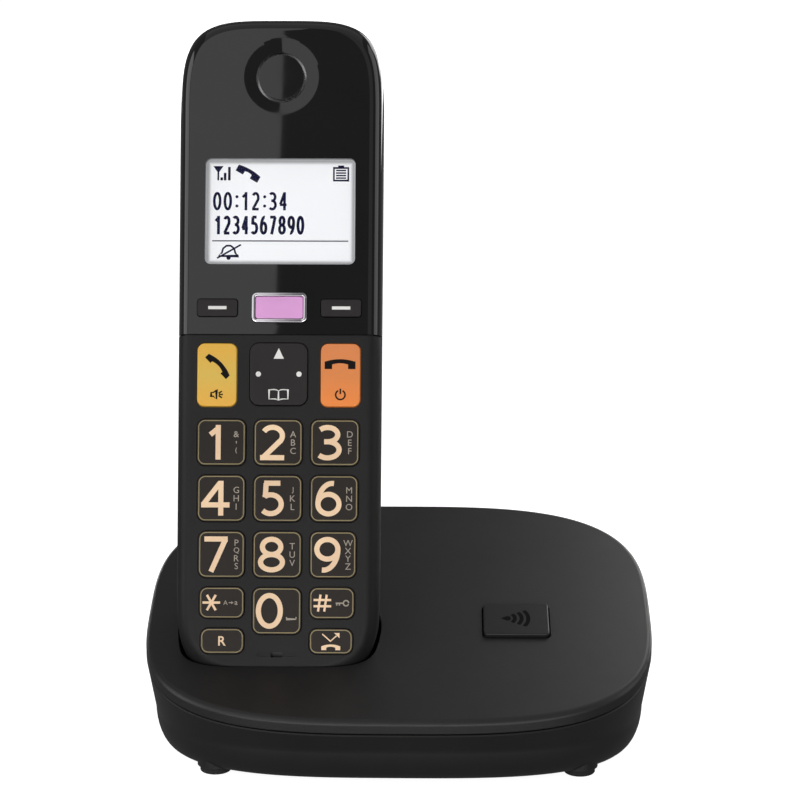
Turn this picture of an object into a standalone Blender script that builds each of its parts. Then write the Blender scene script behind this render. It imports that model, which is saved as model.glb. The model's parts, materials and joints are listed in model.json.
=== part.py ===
"""Cordless phone with its charging base, modelled as an assembly of separate parts.

Metres, +Z up. The base stands on its feet at z = 0, centred on the origin, with its front towards -Y.
The handset sits in the cradle on the left and leans back. Handset parts are drawn in the handset's own
frame: x to the right, y up the handset from its bottom end, z out of the keypad face.
"""

import itertools
import math

import bmesh
import bpy
from mathutils import Matrix, Vector

GAP = 0.0003  # clearance kept between parts that rest on or in each other

# Base housing
BASE_WIDTH = 0.120
BASE_DEPTH = 0.092
BASE_HEIGHT = 0.0296  # top surface above the ground at the middle of the base
TOP_SLOPE = math.radians(15)  # the top surface rises towards the back
PLAN_POWER = 3.2  # superellipse exponent of the plan outline
PLAN_POINTS = 60
BASE_WALL = 0.0016
TOP_THICKNESS = 0.0018
RIM_RADIUS = 0.0012
RIM_DROP = 0.0032  # from the top surface down to the parting line
WALL_TAPER = 0.0020
BOTTOM_Z = 0.0016  # flat underside above the ground
BOTTOM_FILLET_HEIGHT = 0.0085
BOTTOM_FILLET_INSET = 0.0040
FOOT_RADIUS = 0.0036
FOOT_AT = (0.0420, 0.0315)
FOOT_CORNERS = {"front_left": (-1, -1), "front_right": (1, -1), "rear_left": (-1, 1), "rear_right": (1, 1)}
BOSS_RADIUS = 0.0034
CASE_SCREWS = ((-0.034, 0.024), (0.042, 0.022), (0.046, -0.015))
SCREW_JOINT_Z = 0.012  # where the two halves of a screw boss meet

# Handset seat
HANDSET_X = -0.0282
HANDSET_Y = -0.02555
HANDSET_Z = 0.01957
LEAN = math.radians(18)  # the handset's face leans back from the vertical
WELL_ROOM = 0.0008  # clearance round the handset
WELL_WALL = 0.0013

# Handset housing
LENGTH = 0.1563
HALF_TOP = 0.0242
HALF_BOTTOM = 0.0238
END_DEPTH = 0.025  # length of each rounded end
END_POWER = 4.0
END_STEPS = 8
THICK_BOTTOM = 0.0252
THICK_TOP = 0.0215
PARTING = 0.009  # front casings meet the rear casing this far behind the face
SHELL = 0.0016
FACE_FILLET = (0.0034, 0.0050)  # inset across the face, depth
BACK_FILLET = 0.0095
SPLIT_Y = 0.0806  # joint between keypad casing and display casing

# Face of the handset
EAR_Y = 0.1418
EAR_DISH_RADIUS = 0.0095
EAR_THROAT_RADIUS = 0.0062
EAR_CAP_RADIUS = 0.0054
EAR_DEPTH = 0.0009
DISPLAY_Y = 0.1098
DISPLAY_SIZE = (0.0353, 0.0251)
MIC_Y = 0.0060

# Keys: height above the face, retaining flange
KEY_HEIGHT = 0.0005
KEY_GAP = 0.00025
FLANGE = 0.0004
FLANGE_TOP = -0.0019
FLANGE_BOTTOM = -0.0025
INNER_EDGE = 0.00755  # inner edge of the outer key columns
MIDDLE_HALF = 0.0057
ROW_PITCH = 0.01305
FIRST_ROW_Y = 0.0553
OUTER_EDGES = (0.01895, 0.01875, 0.0184, 0.01805, 0.0177)  # of the outer columns, row by row down the face
BIG_KEY = 0.0109
STAR_ROW = (0.0180, 0.00735)  # centre, height
LAST_ROW = (0.00915, 0.00595)
CALL_KEYS = (0.01445, 0.0711, 0.0092, 0.0148)  # x, y, width, height
SOFT_KEYS = (0.0145, 0.0869, 0.0094, 0.0041)
CENTRE_KEY = (0.0870, 0.01285, 0.0069)  # y, width, height of the frame
CENTRE_RIM = 0.00075
NAVIGATOR = (0.0713, 0.0135, 0.0147)
NAVIGATOR_PAD = 0.0110
TILT_ROOM = 0.0003  # extra room for the navigator, which tilts 2 degrees each way

# Layers behind the face
MAT_TOP = -0.0034
MAT_BOTTOM = -0.0044
BOARD_TOP = -0.0047
BOARD_BOTTOM = -0.0059
BOARD_HALF_WIDTH = 0.0200
BOARD_SPAN = (0.0100, 0.1310)
HANDSET_SCREWS_X = 0.0175
HANDSET_SCREWS_Y = 0.1390

# Batteries
BAY_HALF = 0.0145
BAY_SPAN = (0.0330, 0.0880)
BAY_FLOOR = -0.0103
DOOR_THICKNESS = 0.0014
CELL_RADIUS = 0.0052
CELL_X = 0.0066
CELL_Z = -0.0162
CELL_SPAN = (0.0395, 0.0840)

# Charging contacts
CONTACT_X = 0.0080
CONTACT_DEPTH = -0.0120
CONTACT_SIZE = (0.0024, 0.0034)

# Base inside
BOARD_Z = (0.0049, 0.0064)
BOARD_X = (-0.022, 0.034)
BOARD_Y = (-0.027, 0.031)
LINE_JACK = (0.0260, 0.0126, 0.0112, 0.0160)  # x, width, height, length
POWER_JACK = (0.0060, 0.0090, 0.0090, 0.0130)
JACK_FACE_Y = 0.0405
BUTTON_X = 0.0278
BUTTON_UP = -0.0067  # up the slope from the middle of the base
BUTTON_SIZE = (0.0156, 0.0134)
BUTTON_HEIGHT = 0.0010


# ---------------------------------------------------------------- tools


def clear_scene():
    for obj in list(bpy.data.objects):
        bpy.data.objects.remove(obj)


def new_collection(name):
    made = bpy.data.collections.new(name)
    bpy.context.scene.collection.children.link(made)
    return made


clear_scene()
PARTS = new_collection("cordless_phone")
CUTTERS = new_collection("cutters")


def frame(name, location, tilt):
    """An empty that carries a local frame, turned about X."""
    empty = bpy.data.objects.new(name, None)
    empty.location = location
    empty.rotation_euler = (tilt, 0, 0)
    PARTS.objects.link(empty)
    return empty


HANDSET = frame("handset_frame", (HANDSET_X, HANDSET_Y, HANDSET_Z), math.pi / 2 - LEAN)
TOP = frame("base_top_frame", (0, 0, BASE_HEIGHT), TOP_SLOPE)


def material(name, colour, roughness, metallic=0.0):
    made = bpy.data.materials.new(name)
    made.use_nodes = True
    shader = made.node_tree.nodes["Principled BSDF"]
    shader.inputs["Base Color"].default_value = (*colour, 1)
    shader.inputs["Roughness"].default_value = roughness
    shader.inputs["Metallic"].default_value = metallic
    return made


MATTE = material("matte_black", (0.020, 0.020, 0.022), 0.5)
GLOSS = material("gloss_black", (0.012, 0.012, 0.013), 0.1)
KEYCAP = material("keycap_black", (0.028, 0.026, 0.027), 0.45)
YELLOW = material("talk_yellow", (0.75, 0.42, 0.07), 0.4)
ORANGE = material("off_orange", (0.80, 0.27, 0.07), 0.4)
LILAC = material("centre_lilac", (0.60, 0.31, 0.56), 0.35)
CHROME = material("chrome", (0.80, 0.80, 0.82), 0.15, 1.0)
RUBBER = material("rubber", (0.015, 0.015, 0.015), 0.85)
SILICONE = material("silicone", (0.75, 0.66, 0.48), 0.6)
CLEAR = material("clear_window", (0.9, 0.93, 0.92), 0.05)
SCREEN = material("display_white", (0.82, 0.84, 0.83), 0.3)
BOARD = material("circuit_board", (0.03, 0.18, 0.07), 0.4)
STEEL = material("steel", (0.55, 0.55, 0.56), 0.3, 1.0)
GOLD = material("contact_gold", (0.80, 0.62, 0.30), 0.25, 1.0)
CELL = material("cell_sleeve", (0.10, 0.32, 0.20), 0.35)
SOCKET = material("socket_plastic", (0.03, 0.03, 0.03), 0.4)


def place(obj, parent, look=None):
    """Links a part, or a cutter if it has no material, and hangs it on its frame."""
    if look is None:
        CUTTERS.objects.link(obj)
        obj.hide_render = True
        obj.display_type = "WIRE"
    else:
        PARTS.objects.link(obj)
        obj.data.materials.append(look)
    obj.parent = parent
    return obj


def mesh_object(name, bm, parent=None, look=None, smooth=True):
    bmesh.ops.recalc_face_normals(bm, faces=bm.faces)
    mesh = bpy.data.meshes.new(name)
    bm.to_mesh(mesh)
    bm.free()
    if smooth:
        mesh.shade_smooth()
        mesh.set_sharp_from_angle(angle=math.radians(35))
    return place(bpy.data.objects.new(name, mesh), parent, look)


def round_edges(bm, edges, radius, steps):
    bmesh.ops.bevel(bm, geom=edges, offset=radius, segments=steps, profile=0.5, affect="EDGES")


def slab(size, corner=0.0, steps=3, centre=(0, 0, 0), along="Z"):
    """A box whose four edges along one axis are rounded."""
    bm = bmesh.new()
    bmesh.ops.create_cube(bm, size=1)
    width, depth, height = size
    if along == "Y":
        depth, height = height, depth
    bmesh.ops.scale(bm, vec=(width, depth, height), verts=bm.verts)
    if corner:
        upright = [e for e in bm.edges if abs(e.verts[0].co.z - e.verts[1].co.z) > height / 2]
        round_edges(bm, upright, corner, steps)
    if along == "Y":
        bmesh.ops.rotate(bm, matrix=Matrix.Rotation(math.pi / 2, 3, "X"), verts=bm.verts)
    bmesh.ops.translate(bm, vec=centre, verts=bm.verts)
    return bm


def box(name, low, high, parent=None, look=None, corner=0.0, steps=3, along="Z"):
    low, high = Vector(low), Vector(high)
    bm = slab(high - low, corner, steps, (low + high) / 2, along)
    return mesh_object(name, bm, parent, look)


def cylinder(name, radius, start, end, at, parent=None, look=None, sides=24, top_radius=None):
    """A round bar along z, or a cone if its radii differ."""
    bm = bmesh.new()
    bmesh.ops.create_cone(
        bm,
        cap_ends=True,
        segments=sides,
        radius1=radius,
        radius2=radius if top_radius is None else top_radius,
        depth=end - start,
    )
    bmesh.ops.translate(bm, vec=(at[0], at[1], (start + end) / 2), verts=bm.verts)
    return mesh_object(name, bm, parent, look)


def loft(name, rings, parent=None, look=None):
    """A closed skin over rings of equal point count, with both end rings filled."""
    bm = bmesh.new()
    loops = [[bm.verts.new(point) for point in ring] for ring in rings]
    for lower, upper in zip(loops, loops[1:]):
        for i in range(len(lower)):
            j = (i + 1) % len(lower)
            bm.faces.new((lower[i], lower[j], upper[j], upper[i]))
    bm.faces.new(loops[0])
    bm.faces.new(loops[-1])
    return mesh_object(name, bm, parent, look)


def boolean(obj, other, operation):
    modifier = obj.modifiers.new(other.name, "BOOLEAN")
    modifier.operation = operation
    modifier.object = other
    modifier.solver = "EXACT"


def cut(obj, *cutters):
    for cutter in cutters:
        boolean(obj, cutter, "DIFFERENCE")


def join(obj, *others):
    for other in others:
        boolean(obj, other, "UNION")


def signed_power(value, power):
    return math.copysign(abs(value) ** power, value)


def quarter_steps(count):
    return [(k + 0.5) / count * math.pi / 2 for k in range(count)]


# ---------------------------------------------------------------- base housing


def top_height(y, drop=0.0):
    """Height of the sloping top surface, less a drop."""
    return BASE_HEIGHT + y * math.tan(TOP_SLOPE) - drop


def plan_ring(inset, drop=None, level=None):
    """The base's plan outline, on a plane parallel to the top surface or at a level height."""
    ring = []
    for k in range(PLAN_POINTS):
        angle = 2 * math.pi * (k + 0.5) / PLAN_POINTS
        x = (BASE_WIDTH / 2 - inset) * signed_power(math.cos(angle), 2 / PLAN_POWER)
        y = (BASE_DEPTH / 2 - inset) * signed_power(math.sin(angle), 2 / PLAN_POWER)
        ring.append((x, y, top_height(y, drop) if level is None else level))
    return ring


def fillet_levels(inset, bottom, count):
    """(inset, height) pairs round the lower edge, from the wall down to the underside."""
    pairs = []
    for k in range(count + 1):
        turn = k / count * math.pi / 2
        pairs.append(
            (
                inset + BOTTOM_FILLET_INSET * (1 - math.cos(turn)),
                bottom + BOTTOM_FILLET_HEIGHT * (1 - math.sin(turn)),
            )
        )
    return pairs


def make_top_cover():
    outer = []
    for k in range(4):
        turn = k / 3 * math.pi / 2
        outer.append(plan_ring(RIM_RADIUS * (1 - math.sin(turn)), RIM_RADIUS * (1 - math.cos(turn))))
    outer.append(plan_ring(0, RIM_DROP))
    inner = [plan_ring(BASE_WALL, RIM_DROP), plan_ring(BASE_WALL, TOP_THICKNESS)]
    cover = loft("base_top_cover", outer + inner, None, MATTE)

    tub = grown_handset("cradle_tub", WELL_ROOM + WELL_WALL)
    above = box("above_top", (-0.08, -0.08, -TOP_THICKNESS / 2), (0.08, 0.08, 0.2), TOP)
    cut(tub, above)
    well = grown_handset("cradle_well", WELL_ROOM)
    join(cover, tub)
    for i, (x, y) in enumerate(CASE_SCREWS):
        joint = SCREW_JOINT_Z + GAP
        boss = cylinder(f"top_boss_{i}", BOSS_RADIUS, joint, top_height(y, 0.0013), (x, y), sides=16)
        hole = cylinder(f"top_boss_hole_{i}", 0.0017, joint - 0.001, top_height(y, 0.0045), (x, y), sides=12)
        join(cover, boss)
        cut(cover, hole)
    cut(cover, well)

    width, length = BUTTON_SIZE
    aperture = box(
        "button_aperture",
        (BUTTON_X - width / 2 - GAP, BUTTON_UP - length / 2 - GAP, -0.01),
        (BUTTON_X + width / 2 + GAP, BUTTON_UP + length / 2 + GAP, 0.01),
        TOP,
        None,
        0.0014,
    )
    cut(cover, aperture)
    for side in (-1, 1):
        slot = box(
            f"contact_slot_{side}",
            (side * CONTACT_X - CONTACT_SIZE[0] / 2 - GAP, -0.01, CONTACT_DEPTH - CONTACT_SIZE[1] / 2 - GAP),
            (side * CONTACT_X + CONTACT_SIZE[0] / 2 + GAP, 0.01, CONTACT_DEPTH + CONTACT_SIZE[1] / 2 + GAP),
            HANDSET,
        )
        cut(cover, slot)


def make_bottom_cover():
    outer = [plan_ring(level=z, inset=inset) for inset, z in reversed(fillet_levels(WALL_TAPER, BOTTOM_Z, 5))]
    outer.append(plan_ring(0.00015, RIM_DROP + GAP))
    inner = [plan_ring(0.00015 + BASE_WALL, RIM_DROP + GAP)]
    inside = fillet_levels(WALL_TAPER + BASE_WALL, BOTTOM_Z + BASE_WALL, 3)
    inner += [plan_ring(level=z, inset=inset) for inset, z in inside]
    cover = loft("base_bottom_cover", outer + inner, None, MATTE)

    for i, (sx, sy) in enumerate(FOOT_CORNERS.values()):
        at = (sx * FOOT_AT[0], sy * FOOT_AT[1])
        low, high = BOTTOM_Z - 0.00004, BOTTOM_Z + 0.0045
        pad = cylinder(f"foot_pad_{i}", FOOT_RADIUS + 0.0006, low, high, at, sides=20)
        join(cover, pad)
    for i, at in enumerate(CASE_SCREWS):
        boss = cylinder(f"bottom_boss_{i}", BOSS_RADIUS, BOTTOM_Z + 0.0008, SCREW_JOINT_Z, at, sides=16)
        hole = cylinder(f"bottom_hole_{i}", 0.0017, 0, 0.02, at, sides=12)
        head = cylinder(f"head_recess_{i}", 0.0027, 0, 0.0046, at, sides=16)
        join(cover, boss)
        cut(cover, hole, head)
    for i, at in enumerate(itertools.product(BOARD_X, BOARD_Y)):
        inward = [value * 0.85 for value in at]
        post = cylinder(f"board_post_{i}", 0.0022, BOTTOM_Z + 0.0008, BOARD_Z[0] - GAP, inward, sides=10)
        join(cover, post)
    for name, (x, width, height, _) in (("line", LINE_JACK), ("power", POWER_JACK)):
        window = box(
            f"{name}_window",
            (x - width / 2 - GAP, 0.030, BOARD_Z[1]),
            (x + width / 2 + GAP, 0.060, BOARD_Z[1] + height + 2 * GAP),
        )
        cut(cover, window)


def make_feet():
    for name, (sx, sy) in FOOT_CORNERS.items():
        at = (sx * FOOT_AT[0], sy * FOOT_AT[1])
        cylinder(f"foot_{name}", FOOT_RADIUS, 0, BOTTOM_Z - GAP, at, None, RUBBER, 20)


def screw(name, at, seat, tip, head_radius, shank_radius, parent, upward=1):
    """A pan-head screw along z. The head lies outside the seat, on the side away from the tip."""
    head_end = seat - upward * 0.0014
    lift = seat + upward * GAP * 0.5
    low, high = sorted((head_end, seat))
    body = cylinder(name, head_radius, low, high, at, parent, STEEL, 16)
    low, high = sorted((lift - upward * 0.0006, tip))
    join(body, cylinder(name + "_shank", shank_radius, low, high, at, parent, sides=10))
    bar = 0.0014
    slot_low, slot_high = sorted((head_end - upward * 0.001, head_end + upward * 0.0006))
    for turned in (False, True):
        wide, thin = (0.0003, bar) if turned else (bar, 0.0003)
        cross = box(
            f"{name}_drive_{int(turned)}",
            (at[0] - wide, at[1] - thin, slot_low),
            (at[0] + wide, at[1] + thin, slot_high),
            parent,
        )
        cut(body, cross)
    return body


def make_base_screws():
    for i, at in enumerate(CASE_SCREWS):
        screw(f"base_screw_{i + 1}", at, 0.0043, 0.0180, 0.0023, 0.0013, None)


def make_base_inside():
    top = BOARD_Z[1]
    low, high = (BOARD_X[0], BOARD_Y[0], BOARD_Z[0]), (BOARD_X[1], BOARD_Y[1], top)
    board = box("base_circuit_board", low, high, None, BOARD, 0.001)
    support = box("board_chip", (0.001, 0.004, top - 0.0004), (0.013, 0.016, top + 0.0012))
    join(board, support)
    box("base_radio_shield", (0.0005, -0.022, top + GAP), (0.0195, -0.004, top + 0.0025), None, STEEL, 0.0006)
    middle_y = BUTTON_UP * math.cos(TOP_SLOPE)
    switch_y = middle_y + 0.0045
    box(
        "locator_switch",
        (BUTTON_X - 0.003, switch_y - 0.003, top + GAP),
        (BUTTON_X + 0.003, switch_y + 0.003, top + 0.0038),
        None,
        SOCKET,
        0.0004,
    )

    x, width, height, length = LINE_JACK
    bottom = top + GAP
    low = (x - width / 2, JACK_FACE_Y - length, bottom)
    jack = box("line_jack", low, (x + width / 2, JACK_FACE_Y, bottom + height), None, SOCKET)
    inner = JACK_FACE_Y - 0.0115
    mouth = box("line_mouth", (x - 0.0049, inner, bottom + 0.0030), (x + 0.0049, 0.06, bottom + 0.0096))
    latch = box("line_latch", (x - 0.0026, inner, bottom + 0.0014), (x + 0.0026, 0.06, bottom + 0.0034))
    cut(jack, mouth, latch)

    x, width, height, length = POWER_JACK
    low = (x - width / 2, JACK_FACE_Y - length, bottom)
    jack = box("power_jack", low, (x + width / 2, JACK_FACE_Y, bottom + height), None, SOCKET)
    axis = bottom + height / 2
    bore = cylinder("power_bore", 0.0028, -0.010, 0.010, (0, 0), sides=20)
    pin = cylinder("power_pin", 0.0007, -0.0104, -0.0010, (0, 0), sides=10)
    for tool in (bore, pin):
        tool.rotation_euler = (-math.pi / 2, 0, 0)
        tool.location = (x, JACK_FACE_Y, axis)
    cut(jack, bore)
    join(jack, pin)


def make_locator_button():
    """The cap stands above the top surface, its flange lies below it and its leg reaches the switch."""
    width, length = BUTTON_SIZE
    under = -TOP_THICKNESS - 0.0005
    middle = (BUTTON_X, BUTTON_UP, (BUTTON_HEIGHT + under) / 2)
    cap = slab((width, length, BUTTON_HEIGHT - under), 0.0011, 3, middle)
    rim = [e for e in cap.edges if min(v.co.z for v in e.verts) > BUTTON_HEIGHT - 1e-6]
    round_edges(cap, rim, 0.0004, 2)
    button = mesh_object("locator_button", cap, TOP, MATTE)
    flange = box(
        "button_flange",
        (BUTTON_X - width / 2 - 0.001, BUTTON_UP - length / 2 - 0.001, under - 0.0008),
        (BUTTON_X + width / 2 + 0.001, BUTTON_UP + length / 2 + 0.001, under + 0.0001),
        TOP,
    )
    leg = box(
        "button_leg",
        (BUTTON_X - 0.0014, BUTTON_UP - 0.0014, -0.0168),
        (BUTTON_X + 0.0014, BUTTON_UP + 0.0014, under),
        TOP,
    )
    join(button, flange, leg)


def make_base_contacts():
    for name, side in (("left", -1), ("right", 1)):
        box(
            f"charge_contact_{name}",
            (side * CONTACT_X - CONTACT_SIZE[0] / 2, -0.0042, CONTACT_DEPTH - CONTACT_SIZE[1] / 2),
            (side * CONTACT_X + CONTACT_SIZE[0] / 2, -GAP, CONTACT_DEPTH + CONTACT_SIZE[1] / 2),
            HANDSET,
            GOLD,
            0.0006,
            along="Z",
        )


# ---------------------------------------------------------------- handset housing


def back_depth(y):
    """Thickness of the handset at a height up its face."""
    return THICK_BOTTOM + (THICK_TOP - THICK_BOTTOM) * y / LENGTH


def handset_ring(inset, depth):
    """The handset's face outline, drawn in by an inset. depth(y) gives how far behind the face it lies."""
    ring = []
    for end, half in ((1, HALF_TOP), (-1, HALF_BOTTOM)):
        centre = LENGTH - END_DEPTH if end > 0 else END_DEPTH
        quarter = []
        for angle in quarter_steps(END_STEPS):
            x = (half - inset) * math.cos(angle) ** (2 / END_POWER)
            y = centre + end * (END_DEPTH - inset) * math.sin(angle) ** (2 / END_POWER)
            quarter.append((x, y, -depth(y)))
        mirrored = [(-x, y, z) for x, y, z in quarter[::-1]]
        arc = quarter + mirrored
        ring += arc if end > 0 else arc[::-1]
    return ring


def face_rings(steps, extra=0.0):
    """Rings from the flat face round to the parting line. extra moves them inside the wall."""
    inset, depth = (size - extra for size in FACE_FILLET)
    rings = []
    for k in range(steps + 1):
        turn = k / steps * math.pi / 2
        level = extra + depth * (1 - math.cos(turn))
        rings.append(handset_ring(extra + inset * (1 - math.sin(turn)), lambda y, z=level: z))
    rings.append(handset_ring(extra, lambda y: PARTING))
    return rings


def back_rings(steps, extra=0.0):
    """Rings from the flat back round to the parting line. extra moves them inside the wall."""
    rings = []
    for k in range(steps + 1):
        turn = k / steps * math.pi / 2
        share = math.cos(turn)
        rings.append(
            handset_ring(
                extra + BACK_FILLET * (1 - math.sin(turn)),
                lambda y, s=share: PARTING + 0.003 + (back_depth(y) - extra - PARTING - 0.003) * s,
            )
        )
    rings.append(handset_ring(extra, lambda y: PARTING + GAP))
    return rings


def grown_handset(name, room):
    """The handset's outer shape, grown by a clearance: a cutter."""
    return loft(name, face_rings(3, -room) + back_rings(4, -room)[::-1], HANDSET)


def front_shell(name, look):
    return loft(name, face_rings(4) + face_rings(2, SHELL)[::-1], HANDSET, look)


def make_keypad_casing():
    casing = front_shell("keypad_casing", MATTE)
    cut(casing, box("above_split", (-0.05, SPLIT_Y - GAP / 2, -0.05), (0.05, 0.3, 0.05), HANDSET))
    for name, x, y, width, height, corner in key_layout():
        if y < SPLIT_Y:
            cut(casing, key_aperture(name, x, y, width, height, corner))
    groove = box("mic_groove", (-0.0045, MIC_Y - 0.0004, -0.0003), (0.0045, MIC_Y + 0.0004, 0.001), HANDSET)
    slot = box("mic_slot", (-0.0014, MIC_Y - 0.0006, -0.003), (0.0014, MIC_Y + 0.0006, 0.001), HANDSET)
    cut(casing, groove, slot)


def make_display_casing():
    casing = front_shell("display_casing", GLOSS)
    cut(casing, box("below_split", (-0.05, -0.1, -0.05), (0.05, SPLIT_Y + GAP / 2, 0.05), HANDSET))
    ear = (0, EAR_Y)
    join(casing, cylinder("ear_boss", EAR_DISH_RADIUS + 0.0012, -0.0034, -SHELL / 2, ear, HANDSET, sides=32))
    lip = 0.0005
    run = (EAR_DISH_RADIUS - EAR_THROAT_RADIUS) * lip / EAR_DEPTH
    dish = cylinder(
        "ear_dish", EAR_THROAT_RADIUS, -EAR_DEPTH, lip, ear, HANDSET, None, 48, EAR_DISH_RADIUS + run
    )
    throat = cylinder("ear_throat", EAR_CAP_RADIUS + 0.0005, -0.01, 0.001, ear, HANDSET, sides=32)
    cut(casing, dish, throat)
    width, height = DISPLAY_SIZE
    window = box(
        "window_aperture",
        (-width / 2, DISPLAY_Y - height / 2, -0.01),
        (width / 2, DISPLAY_Y + height / 2, 0.01),
        HANDSET,
        None,
        0.0013,
    )
    cut(casing, window)
    for name, x, y, key_width, key_height, corner in key_layout():
        if y > SPLIT_Y:
            cut(casing, key_aperture(name, x, y, key_width, key_height, corner))
    for side in (-1, 1):
        at = (side * HANDSET_SCREWS_X, HANDSET_SCREWS_Y)
        join(casing, cylinder(f"front_boss_{side}", 0.0026, -PARTING, -SHELL / 2, at, HANDSET, sides=14))
        cut(casing, cylinder(f"front_boss_hole_{side}", 0.0012, -0.02, -0.0032, at, HANDSET, sides=10))


def make_rear_casing():
    casing = loft("rear_casing", back_rings(5) + back_rings(3, SHELL)[::-1], HANDSET, MATTE)
    wall = Vector((SHELL * 0.8, SHELL * 0.8, 0))
    low, high = Vector((-BAY_HALF, BAY_SPAN[0], -0.05)), Vector((BAY_HALF, BAY_SPAN[1], BAY_FLOOR))
    tray_low = Vector((low.x, low.y, -back_depth(high.y) + SHELL * 0.6)) - wall
    tray = box("battery_tray", tray_low, high + wall + Vector((0, 0, 0.0007)), HANDSET)
    join(casing, tray)
    cut(casing, box("battery_bay", low, high, HANDSET, None, 0.0012))
    for side in (-1, 1):
        at = (side * HANDSET_SCREWS_X, HANDSET_SCREWS_Y)
        back = -back_depth(HANDSET_SCREWS_Y)
        boss = cylinder(f"rear_boss_{side}", 0.0034, back + 0.0024, -PARTING - GAP, at, HANDSET, sides=16)
        join(casing, boss)
        cut(casing, cylinder(f"rear_boss_hole_{side}", 0.0013, -0.05, 0.0, at, HANDSET, sides=10))
        cut(casing, cylinder(f"screw_recess_{side}", 0.0024, -0.05, -0.0130, at, HANDSET, sides=16))
        pad = CONTACT_SIZE[0] / 2 + 2 * GAP, CONTACT_SIZE[1] / 2 + 2 * GAP
        slot = box(
            f"pad_slot_{side}",
            (side * CONTACT_X - pad[0], -0.01, CONTACT_DEPTH - pad[1]),
            (side * CONTACT_X + pad[0], 0.004, CONTACT_DEPTH + pad[1]),
            HANDSET,
        )
        cut(casing, slot)
    for row in range(4):
        y = 0.1075 + row * 0.0028
        cut(casing, box(f"ringer_slot_{row}", (-0.006, y, -0.05), (0.006, y + 0.0011, -0.0175), HANDSET))


def make_battery_door():
    middle = (BAY_SPAN[0] + BAY_SPAN[1]) / 2
    half = (BAY_SPAN[1] - BAY_SPAN[0]) / 2 - GAP
    tilt = math.atan((THICK_TOP - THICK_BOTTOM) / LENGTH)
    bm = slab((2 * (BAY_HALF - GAP), 2 * half, DOOR_THICKNESS), 0.0010, 3)
    bmesh.ops.rotate(bm, matrix=Matrix.Rotation(-tilt, 3, "X"), verts=bm.verts)
    bmesh.ops.translate(bm, vec=(0, middle, -back_depth(middle) + DOOR_THICKNESS / 2), verts=bm.verts)
    door = mesh_object("battery_door", bm, HANDSET, MATTE)
    for row in range(4):
        y = BAY_SPAN[1] - 0.0070 - row * 0.0018
        low, high = (-0.0055, y, -0.05), (0.0055, y + 0.0008, -back_depth(y) + 0.0004)
        cut(door, box(f"door_grip_{row}", low, high, HANDSET))


def make_earpiece():
    ear = (0, EAR_Y)
    cap = cylinder("earpiece_cap", EAR_CAP_RADIUS, -0.0030, -0.0002, ear, HANDSET, GLOSS, 32)
    rim = cap.modifiers.new("soft_edge", "BEVEL")
    rim.width = 0.0003
    rim.segments = 2
    rim.limit_method = "ANGLE"
    cylinder("earpiece_receiver", 0.0066, -0.0070, -0.0037, ear, HANDSET, STEEL, 24)


def make_display():
    width, height = DISPLAY_SIZE
    box(
        "display_window",
        (-width / 2 + GAP, DISPLAY_Y - height / 2 + GAP, -0.0014),
        (width / 2 - GAP, DISPLAY_Y + height / 2 - GAP, -0.0005),
        HANDSET,
        CLEAR,
        0.0010,
    )
    low, high = (-0.0195, DISPLAY_Y - 0.0155, -0.0044), (0.0195, DISPLAY_Y + 0.0155, -SHELL - GAP)
    box("display_module", low, high, HANDSET, SCREEN, 0.0005)


# ---------------------------------------------------------------- keys


def outer_key(name, side, row, y, height):
    edge = OUTER_EDGES[row]
    return name, side * (edge + INNER_EDGE) / 2, y, edge - INNER_EDGE, height, 0.0019


def key_layout():
    """(name, x, y, width, height, corner radius) of every key opening on the face."""
    x, y, width, height = SOFT_KEYS
    keys = [("soft_key_left", -x, y, width, height, 0.0007), ("soft_key_right", x, y, width, height, 0.0007)]
    keys.append(("centre_key_frame", 0, *CENTRE_KEY, 0.0012))
    x, y, width, height = CALL_KEYS
    keys += [("talk_key", -x, y, width, height, 0.0017), ("off_key", x, y, width, height, 0.0017)]
    keys.append(("navigator_key", 0, *NAVIGATOR, 0.0022))
    for row in range(3):
        y = FIRST_ROW_Y - row * ROW_PITCH
        keys.append(outer_key(f"key_{3 * row + 1}", -1, row, y, BIG_KEY))
        keys.append((f"key_{3 * row + 2}", 0, y, 2 * MIDDLE_HALF, BIG_KEY, 0.0019))
        keys.append(outer_key(f"key_{3 * row + 3}", 1, row, y, BIG_KEY))
    keys.append(("key_0", 0, FIRST_ROW_Y - 3 * ROW_PITCH, 2 * MIDDLE_HALF, BIG_KEY, 0.0019))
    keys += [outer_key("key_star", -1, 3, *STAR_ROW), outer_key("key_hash", 1, 3, *STAR_ROW)]
    keys += [outer_key("key_recall", -1, 4, *LAST_ROW), outer_key("key_block", 1, 4, *LAST_ROW)]
    return keys


def key_aperture(name, x, y, width, height, corner):
    half = Vector((width / 2 + KEY_GAP, height / 2 + KEY_GAP, 0.01))
    at = Vector((x, y, 0))
    return box(name + "_aperture", at - half, at + half, HANDSET, None, corner + KEY_GAP, 2)


def key_cap(name, x, y, width, height, corner, look, top=KEY_HEIGHT, flange_top=FLANGE_TOP):
    """A slab flange whose top is drawn in and raised through the casing, with a softened top edge."""
    thickness = FLANGE_TOP - FLANGE_BOTTOM
    size = (width + 2 * FLANGE, height + 2 * FLANGE, thickness)
    bm = slab(size, corner + FLANGE, 2, (x, y, flange_top - thickness / 2))
    crown = max(bm.faces, key=lambda face: face.calc_center_median().z)
    bmesh.ops.inset_region(bm, faces=[crown], thickness=FLANGE, use_even_offset=True)
    raised = bmesh.ops.extrude_face_region(bm, geom=[crown])["geom"]
    lifted = [v for v in raised if isinstance(v, bmesh.types.BMVert)]
    bmesh.ops.translate(bm, vec=(0, 0, top - flange_top), verts=lifted)
    if crown.is_valid:
        bmesh.ops.delete(bm, geom=[crown], context="FACES")
    rim = [e for e in bm.edges if min(v.co.z for v in e.verts) > top - 1e-6]
    round_edges(bm, rim, 0.00025, 1)
    return mesh_object(name, bm, HANDSET, look)


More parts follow.
